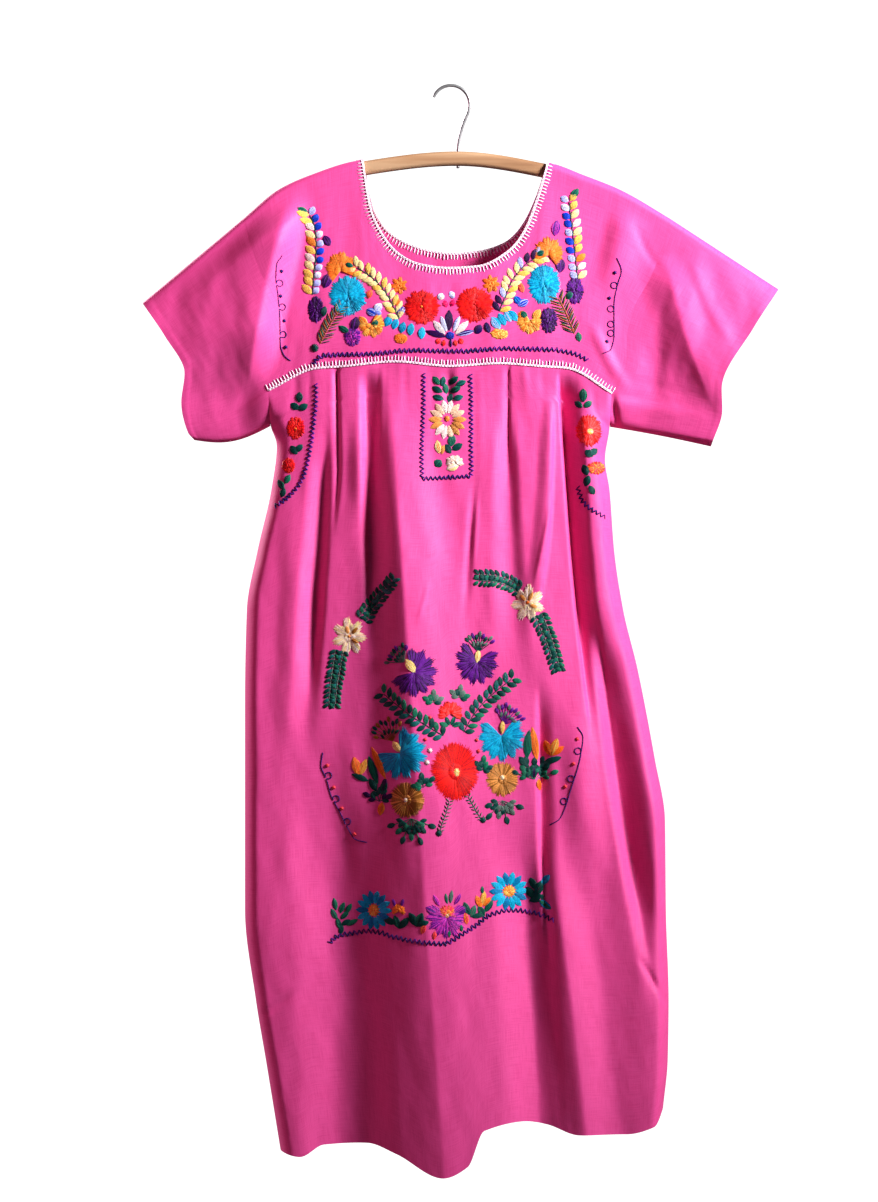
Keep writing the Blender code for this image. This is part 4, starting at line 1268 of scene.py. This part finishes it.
yoke_line = ((-150, 306), (-144, 299), (-135, 296), (-90, 295), (-40, 291), (10, 292),
             (60, 289), (110, 290), (135, 294), (151, 302))
sew("yoke_zigzag", zigzag(yoke_line, pitch=5.2, height=5.8))

# Strips below the yoke
# A panel of flowers inside a zigzag frame in the middle, and a strip of leaves and red
# flowers inside a curved zigzag under each arm.
STRIP_FLOWERS = (  # kind, colours, then x, down, width, height and turn of each
    ("oval", "dark_green green", (-15, 324, 6, 10, -40)),
    ("oval", "teal dark_green", (-8, 325, 5.5, 10, 10)),
    ("oval", "dark_green green", (4, 324, 6, 11, 48)),
    ("oval", "teal dark_green", (12, 327, 6, 10, 66)),
    ("oval", "dark_green", (-14, 334, 6, 11, -62)),
    ("oval", "dark_green green", (-5, 333, 6, 10, -10), (6, 334, 6, 11, 62)),
    ("oval", "dark_green teal", (-13, 343, 6, 11, -74)),
    ("oval", "dark_green", (0, 343, 5.5, 9, 20)),
    ("oval", "teal dark_green", (9, 343, 6, 10, 74)),
    ("daisy", "pale blush blush gold gold gold blush pale pale gold gold blush blush pale",
     (-3, 367, 35, 38, 0)),
    ("knot", "gold orange", (-3, 366, 6, 6, 0)),
    ("oval", "orange cream", (-13, 397, 7, 13, -10)),
    ("oval", "gold", (-8, 400, 4, 9, 14)),
    ("oval", "dark_green green", (2, 390, 8, 12, 10)),
    ("oval", "dark_green", (8, 397, 7, 11, 60), (-2, 399, 6, 10, -30)),
    ("oval", "dark_green green", (-13, 415, 9, 8, 40)),
    ("half", "blush pale pale", (5, 414, 17, 15, 0)),
    ("oval", "cream pale", (3, 419, 8, 12, 70)),
    # Under the left arm
    ("oval", "dark_green", (-165, 342, 7, 10, 0), (-170, 352, 7, 10, -60),
     (-161, 353, 7, 10, 60)),
    ("disc", "red deep_red red", (-169, 376, 19, 24, 0)),
    ("knot", "deep_orange", (-169, 377, 4, 4, 0)),
    ("oval", "dark_green", (-171, 400, 7, 10, -40), (-165, 398, 6, 9, 40)),
    ("disc", "red deep_red", (-177, 417, 14, 16, 0)),
    ("oval", "dark_green green", (-178, 432, 6, 10, 30), (-185, 438, 6, 11, -30)),
    ("oval", "dark_green", (-183, 447, 6, 9, 20)),
    # Under the right arm
    ("oval", "dark_green green", (146, 340, 8, 13, 0), (141, 350, 6, 9, -50),
     (151, 350, 6, 9, 50)),
    ("disc", "red coral red", (152, 379, 27, 33, 0)),
    ("knot", "cream yellow", (153, 380, 8, 8, 0)),
    ("oval", "dark_green", (152, 404, 8, 9, -50), (157, 402, 7, 9, 50)),
    ("disc", "red orange coral", (160, 420, 19, 14, 0)),
    ("oval", "dark_green", (148, 422, 7, 11, -20), (150, 434, 7, 11, 20),
     (155, 444, 6, 10, -30)),
)
STRIP_ZIGZAG = (5, 5.2)  # pitch, height
STRIP_LINES = (  # the three sides of the frame, and the line under the left arm
    ((-29, 316), (-29, 345), (-30, 375), (-31, 405), (-31, 431)),
    ((22, 317), (23, 345), (23, 375), (23, 405), (23, 428)),
    ((-31, 432), (23, 429)),
    ((-147, 327), (-147, 345), (-149, 365), (-153, 397), (-161, 430), (-175, 450), (-192, 462)),
)
strands = embroider(STRIP_FLOWERS)
for path in STRIP_LINES:
    strands += zigzag(path, *STRIP_ZIGZAG)
strands += zigzag(((140, 440), (145, 456), (153, 464), (170, 474)), *STRIP_ZIGZAG,
                  ("navy", "navy"))
sew("strip_flowers", strands)

# Flowers of the skirt
# The largest group: a red flower with turquoise, purple and brown flowers, leaves and
# curly lines round it, under two arcs of leaves that each carry a cream flower.
SKIRT_FLOWERS = (  # kind, colours, then x, down, width, height and turn of each
    ("sun", "red red deep_red", (5, 751, 46, 56, 0)),
    ("knot", "cream yellow", (7, 752, 8, 12, 0)),
    ("open", "purple purple dark_purple", (-40, 643, 46, 46, 118), (29, 631, 42, 46, 194)),
    ("over", "yellow cream", (-43, 636, 8, 16, -36), (30, 626, 6, 13, 8)),
    ("open", "turquoise turquoise deep_turquoise", (-54, 731, 50, 50, 132),
     (56, 713, 46, 48, 176)),
    ("over", "yellow cream", (-58, 724, 7, 12, -38)),
    ("over", "cream yellow", (57, 703, 5, 13, 4)),
    ("half", "red coral red", (0, 688, 24, 24, 0)),
    ("oval", "dark_green green", (-7, 700, 5, 9, -70), (-3, 696, 4, 9, -24),
     (3, 696, 4, 9, 24), (7, 700, 5, 9, 70)),
    ("sun", "brown gold brown", (-47, 782, 33, 34, 0)),
    ("sun", "gold brown gold", (57, 760, 31, 33, 0)),
    ("knot", "cream pale", (-48, 782, 6, 6, 0), (57, 758, 6, 6, 0)),
    ("bush", "dark_green grey_green green", (-18, 676, 14, 16, 0), (10, 671, 14, 16, 10)),
    ("knot", "pale", (-22, 728, 5, 5, 0), (-25, 741, 5, 5, 0)),
    ("knot", "coral", (-27, 716, 3.4, 3.4, 0), (31, 729, 4, 4, 0), (29, 717, 3.4, 3.4, 0),
     (-22, 692, 3.4, 3.4, 0)),
    ("bush", "dark_green green dark_green", (-29, 768, 18, 20, -14), (36, 750, 12, 20, 8)),
    ("oval", "orange deep_orange", (-102, 746, 9, 19, -16)),
    ("oval", "orange yellow", (-95, 747, 7, 17, 22)),
    ("oval", "dark_green", (-98, 758, 6, 17, -68)),
    ("oval", "orange deep_orange", (107, 726, 8, 16, -24)),
    ("oval", "orange yellow", (114, 725, 8, 18, 18)),
    ("oval", "deep_orange", (118, 729, 6, 14, 52)),
    ("oval", "dark_green", (112, 739, 6, 18, 72)),
    ("oval", "orange deep_orange", (-78, 742, 7, 33, -24)),
    ("oval", "dark_green green", (-84, 750, 8, 28, -18)),
    ("oval", "orange deep_orange", (92, 721, 7, 32, -8)),
    ("oval", "dark_green green", (85, 722, 9, 27, 4)),
    ("bush", "dark_green dark_purple dark_green", (-77, 784, 24, 28, 0)),
    ("oval", "dark_green", (-84, 766, 7, 14, -30)),
    ("oval", "dark_green dark_purple", (-72, 768, 7, 14, 16)),
    ("oval", "orange deep_orange", (-75, 792, 7, 13, 10)),
    ("bush", "dark_green dark_green green", (92, 760, 38, 30, 0)),
    ("oval", "dark_green", (80, 741, 7, 13, -40), (104, 744, 7, 14, 60)),
    ("oval", "dark_green dark_purple", (91, 752, 8, 12, 0)),
    ("oval", "orange deep_orange", (97, 766, 6, 11, -8)),
    ("bush", "dark_green dark_green green", (-42, 802, 38, 32, 180)),
    ("bush", "dark_green dark_green grey_green", (57, 783, 34, 28, 180)),
    # Cream flowers of the two arcs
    ("star", "pale blush cream blush", (-110, 604, 32, 35, -8)),
    ("over", "gold brown", (-104, 598, 3.4, 10, 40)),
    ("over", "gold", (-112, 597, 3.4, 10, -14)),
    ("over", "brown gold", (-104, 609, 3.4, 9, 118)),
    ("knot", "gold deep_orange", (-110, 604, 4, 4, 0)),
    ("star", "pale blush cream blush", (85, 568, 31, 35, 6)),
    ("over", "brown gold", (88, 561, 3.6, 11, 24)),
    ("over", "gold brown", (80, 562, 3.6, 10, -40)),
    ("over", "gold", (91, 571, 3.4, 9, 104)),
    ("knot", "deep_orange brown", (85, 567, 5, 5, 0)),
)
SKIRT_LEAVES = (  # stem colour, path, pitch, leaf, colours on the right, on the left
    ("dark_green", ((-72, 667), (-56, 680), (-40, 692), (-24, 702), (-8, 712)),
     7.2, (5.6, 11, 11), "dark_green teal", "green dark_green"),
    ("dark_green", ((67, 651), (50, 664), (36, 677), (24, 692), (15, 708)), 7.2,
     (5.6, 11, 11), "dark_green teal", "green dark_green"),
    ("grey_green", ((-1, 784), (-4, 795), (-8, 806), (-11, 816)), 4.4,
     (0.9, 4.4, 4.4), "grey_green teal", "grey_green grey_green"),
    ("grey_green", ((20, 779), (25, 788), (30, 797), (35, 804)), 4.4,
     (0.9, 4.4, 4.4), "grey_green teal", "grey_green grey_green"),
)
FANS = (  # colours, x, down of the foot, reach, rays, from angle, to angle
    ("grey_green dark_green purple", -50, 632, 22, 9, -92, 8),
    ("dark_green grey_green purple", 31, 621, 22, 9, -44, 54),
    ("brown dark_green dark_green", -62, 718, 27, 10, -78, 22),
    ("purple grey_green purple", 59, 700, 24, 10, -28, 74),
)
FAN_LEAF, FAN_SIDE_LEAF, FAN_SIDE_TURN = (3.6, 6.5), (2.8, 6), 24
SPRAY_STEP, SPRAY_PITCH, SPRAY_LEAF, SPRAY_LEAN = 5, 5.4, (4, 7.6, 7.6), 42
SPRAYS = (  # four dense leafy ends of the two arcs: path, half width at its start and end
    (((-96, 586), (-86, 572), (-75, 558), (-63, 543)), 4.6, 1.2),
    (((-121, 619), (-124, 638), (-127, 656), (-129, 677)), 4.4, 3.4),
    (((77, 553), (62, 545), (48, 541), (32, 540)), 3.6, 3.2),
    (((96, 580), (104, 598), (111, 617), (117, 638)), 4.2, 2.4),
)
strands = embroider(SKIRT_FLOWERS)
for path, first, last in SPRAYS:
    for side in (-1, 1):
        spots, right = even_steps(path, SPRAY_STEP)
        aside = side * np.linspace(first, last, len(spots))[:, None]
        strands += sprig(("grey_green",), spots + right * aside, SPRAY_PITCH, SPRAY_LEAF,
                         ("dark_green", "teal", "dark_green"), ("dark_green", "green"),
                         SPRAY_LEAN)
strands += embroider_leaves(SKIRT_LEAVES, lean=-36)
for x, down in ((-12, 818), (36, 804)):
    strands += knot(("dark_green",), x, down, 7, 7, 0)
for colors, x, down, reach, rays, first, last in FANS:
    colors = colors.split()
    for k in range(rays):
        turn = mix(first, last, k / (rays - 1))
        angle = math.radians(turn)
        out = reach * uneven("fan")
        tip = (x + math.sin(angle) * out, down - math.cos(angle) * out)
        strands.append(stitch(colors[0], (x, down), tip, STEM_RISE, THIN_FLOSS))
        strands += oval(colors[k % 3:k % 3 + 1], *tip, *FAN_LEAF, turn)
        if k % 2:
            strands += oval(colors[1:2], mix(x, tip[0], HALF_WAY), mix(down, tip[1], HALF_WAY),
                            *FAN_SIDE_LEAF, turn + FAN_SIDE_TURN)
strands += curl(((-139, 731), (-141, 745), (-135, 760), (-130, 778), (-121, 795),
                 (-112, 813), (-103, 826), (-91, 829)),
                ((-131, 755), (-123, 781), (-113, 808)),
                "coral", ((-134, 745), (-127, 769), (-118, 792), (-104, 820)))
strands += curl(((139, 703), (145, 714), (143, 731), (139, 749), (132, 771), (125, 793),
                 (119, 804), (109, 810)),
                ((137, 729), (131, 759), (122, 783)),
                "coral", ((139, 716), (135, 743), (126, 768)))
sew("skirt_flowers", strands)

# Band above the hem
# A low row of daisies, leaves and small orange flowers that stands on a zigzag line, which
# rises and falls with the folds.
BAND_FLOWERS = (  # kind, colours, then x, down, width, height and turn of each
    ("oval", "dark_green green", (-126, 897, 5, 12, -12), (-127, 908, 5, 12, -30),
     (-122, 918, 5, 12, -14)),
    ("oval", "dark_green", (-119, 925, 5, 9, 10)),
    ("oval", "dark_green green", (-118, 901, 5, 11, 20), (-111, 902, 5, 11, 30),
     (-115, 909, 5, 11, 44), (-107, 917, 5, 12, 62)),
    ("oval", "dark_green", (-114, 917, 5, 10, 60)),
    ("daisy", "turquoise deep_turquoise turquoise", (-83, 903, 33, 38, 0)),
    ("sun", "orange yellow orange", (-83, 903, 11, 12, 0)),
    ("half", "orange deep_orange", (-56, 903, 13, 14, 0)),
    ("oval", "purple", (-61, 894, 3, 8, -20), (-52, 894, 3, 8, 16)),
    ("oval", "dark_green", (-66, 914, 7, 12, -64)),
    ("oval", "dark_green green", (-58, 915, 7, 13, -20)),
    ("oval", "dark_green", (-50, 916, 7, 14, 40), (-40, 912, 8, 15, -30)),
    ("oval", "dark_green green", (-33, 912, 8, 14, 20)),
    ("oval", "dark_green", (-30, 916, 6, 13, 76)),
    ("open", "magenta purple magenta", (-4, 910, 38, 40, 180)),
    ("half", "coral orange hot_pink", (-3, 906, 18, 18, 0)),
    ("half", "cream coral", (-3, 906, 9, 9, 180)),
    ("oval", "magenta purple", (-20, 902, 7, 13, -60), (13, 902, 7, 13, 60)),
    ("oval", "purple magenta", (-15, 891, 4, 12, -30), (8, 890, 4, 12, 30)),
    ("oval", "grey_green", (1, 887, 4, 12, 6)),
    ("oval", "grey_green green", (-4, 889, 3, 10, -10)),
    ("oval", "orange coral", (-29, 922, 5, 10, 16)),
    ("oval", "coral", (-17, 929, 4, 8, 10)),
    ("oval", "green", (-1, 927, 3, 7, 0), (12, 921, 3, 7, -10)),
    ("oval", "orange coral", (17, 911, 5, 11, -10)),
    ("oval", "dark_green green", (18, 900, 6, 13, -24)),
    ("oval", "green grey_green", (25, 903, 6, 12, 20)),
    ("oval", "dark_green green", (34, 903, 6, 12, -30), (42, 898, 6, 13, 34)),
    ("oval", "dark_green", (30, 908, 5, 14, 84)),
    ("oval", "orange deep_orange", (31, 893, 6, 13, -24)),
    ("oval", "orange yellow", (36, 889, 6, 13, 10)),
    ("oval", "orange deep_orange", (40, 893, 5, 11, 40)),
    ("oval", "green", (35, 880, 3, 7, 0)),
    ("daisy", "turquoise deep_turquoise turquoise", (64, 882, 37, 36, 0)),
    ("sun", "orange yellow orange", (64, 882, 12, 12, 0)),
    ("oval", "dark_green", (88, 884, 8, 14, -40), (91, 874, 7, 13, -30), (97, 879, 8, 16, 20),
     (95, 890, 8, 15, 70)),
    ("oval", "deep_turquoise turquoise", (104, 870, 7, 13, 40)),
    ("oval", "deep_turquoise green", (104, 897, 7, 14, 126)),
)
strands = embroider(BAND_FLOWERS)
strands += zigzag(((-132, 940), (-125, 933), (-108, 929), (-84, 926), (-59, 932), (-26, 937),
                   (-7, 938), (11, 929), (29, 918), (44, 907), (66, 903), (93, 906),
                   (114, 914)), pitch=5.2, height=5.6, colors=("navy", "purple", "navy"))
sew("band_flowers", strands)

# Floor, light and camera
# A plain pale floor in a white room, soft window light from the right, a weak fill for light
# thrown back by the pink cloth, two lights on the back, and a camera straight in front.
PHOTO_WIDTH, PHOTO_HEIGHT = 878, 1202
MM_PER_PIXEL = 1.1
PHOTO_LEFT, PHOTO_TOP = -495, -95.7  # x and down of the picture's corner
CAMERA_AWAY = 6  # metres
SENSOR = 36
FLOOR_DOWN, FLOOR_SIDE = 1.62, 5.2

floor_paint, tree, shader, place = new_material(
    "floor_paint", (0.4, 0.4, 0.4), 0.9,
    {"Emission Color": (1, 1, 1, 1), "Emission Strength": 0.6})
color_between(tree, shader, add_noise(tree, place, 3, 2), 0.3, 0.7,
              ((0.39, 0.39, 0.39), (0.41, 0.41, 0.41)))
bm = bmesh.new()
bmesh.ops.create_grid(bm, x_segments=1, y_segments=1, size=FLOOR_SIDE / 2)
bmesh.ops.translate(bm, verts=bm.verts[:], vec=(0, 0, -FLOOR_DOWN))
floor = add_object("floor", finished_mesh("floor", bm, floor_paint))
# The floor's own soft glow keeps it pale and even, and falls on nothing but the floor.
floor_only = bpy.data.collections.new("floor_only")
floor_only.objects.link(floor)
floor.light_linking.receiver_collection = floor_only

WHITE, PINK_BOUNCE = (1, 1, 1), (1, 0.3, 0.5)
LIGHTS = (  # name, colour, place, aimed at, size, spread in degrees, power in watts
    ("window", WHITE, (2.75, -1.5, 1.08), (-0.05, 0, 0.12), 0.8, 66, 39),
    ("fill", PINK_BOUNCE, (-2.4, -0.4, 0.1), (0, 0, -0.5), 1.6, 120, 8),
    ("back_window", WHITE, (-2.0, 2.0, 0.9), (0, 0, 0.1), 0.8, 70, 19),
    ("back_fill", PINK_BOUNCE, (2.0, 1.8, 0.2), (0, 0, -0.5), 1.6, 120, 6),
)
for name, color, spot, aim, size, spread, power in LIGHTS:
    light = bpy.data.lights.new(name, "AREA")
    light.size = size
    light.spread = math.radians(spread)
    light.energy = power
    light.color = color
    lamp = add_object(name, light)
    lamp.location = spot
    direction = Vector(aim) - Vector(spot)
    lamp.rotation_euler = direction.to_track_quat("-Z", "Y").to_euler()

# The room is white to look at, and gives only a weak light of its own.
ROOM_LIGHT = 0.04
world = bpy.data.worlds.new("studio")
world.use_nodes = True
nodes, links = world.node_tree.nodes, world.node_tree.links
room_light = nodes["Background"]
room_light.inputs["Color"].default_value = (*WHITE, 1)
room_light.inputs["Strength"].default_value = ROOM_LIGHT
room_wall = nodes.new("ShaderNodeBackground")
room_wall.inputs["Color"].default_value = (*WHITE, 1)
seen_or_not = nodes.new("ShaderNodeLightPath")
either = nodes.new("ShaderNodeMixShader")
links.new(seen_or_not.outputs["Is Camera Ray"], either.inputs[0])
links.new(room_light.outputs[0], either.inputs[1])
links.new(room_wall.outputs[0], either.inputs[2])
links.new(either.outputs[0], nodes["World Output"].inputs["Surface"])
bpy.context.scene.world = world
bpy.context.scene.view_settings.view_transform = "Standard"
bpy.context.scene.view_settings.look = "Medium High Contrast"

tall = PHOTO_HEIGHT * MM_PER_PIXEL
camera_data = bpy.data.cameras.new("camera")
camera_data.sensor_fit = "VERTICAL"
camera_data.sensor_height = SENSOR
camera_data.lens = SENSOR * CAMERA_AWAY / (tall * MM)
camera = add_object("camera", camera_data)
camera.location = ((PHOTO_LEFT + PHOTO_WIDTH * MM_PER_PIXEL / 2) * MM, -CAMERA_AWAY,
                   -(PHOTO_TOP + tall / 2) * MM)
camera.rotation_euler = (math.pi / 2, 0, 0)
bpy.context.scene.camera = camera
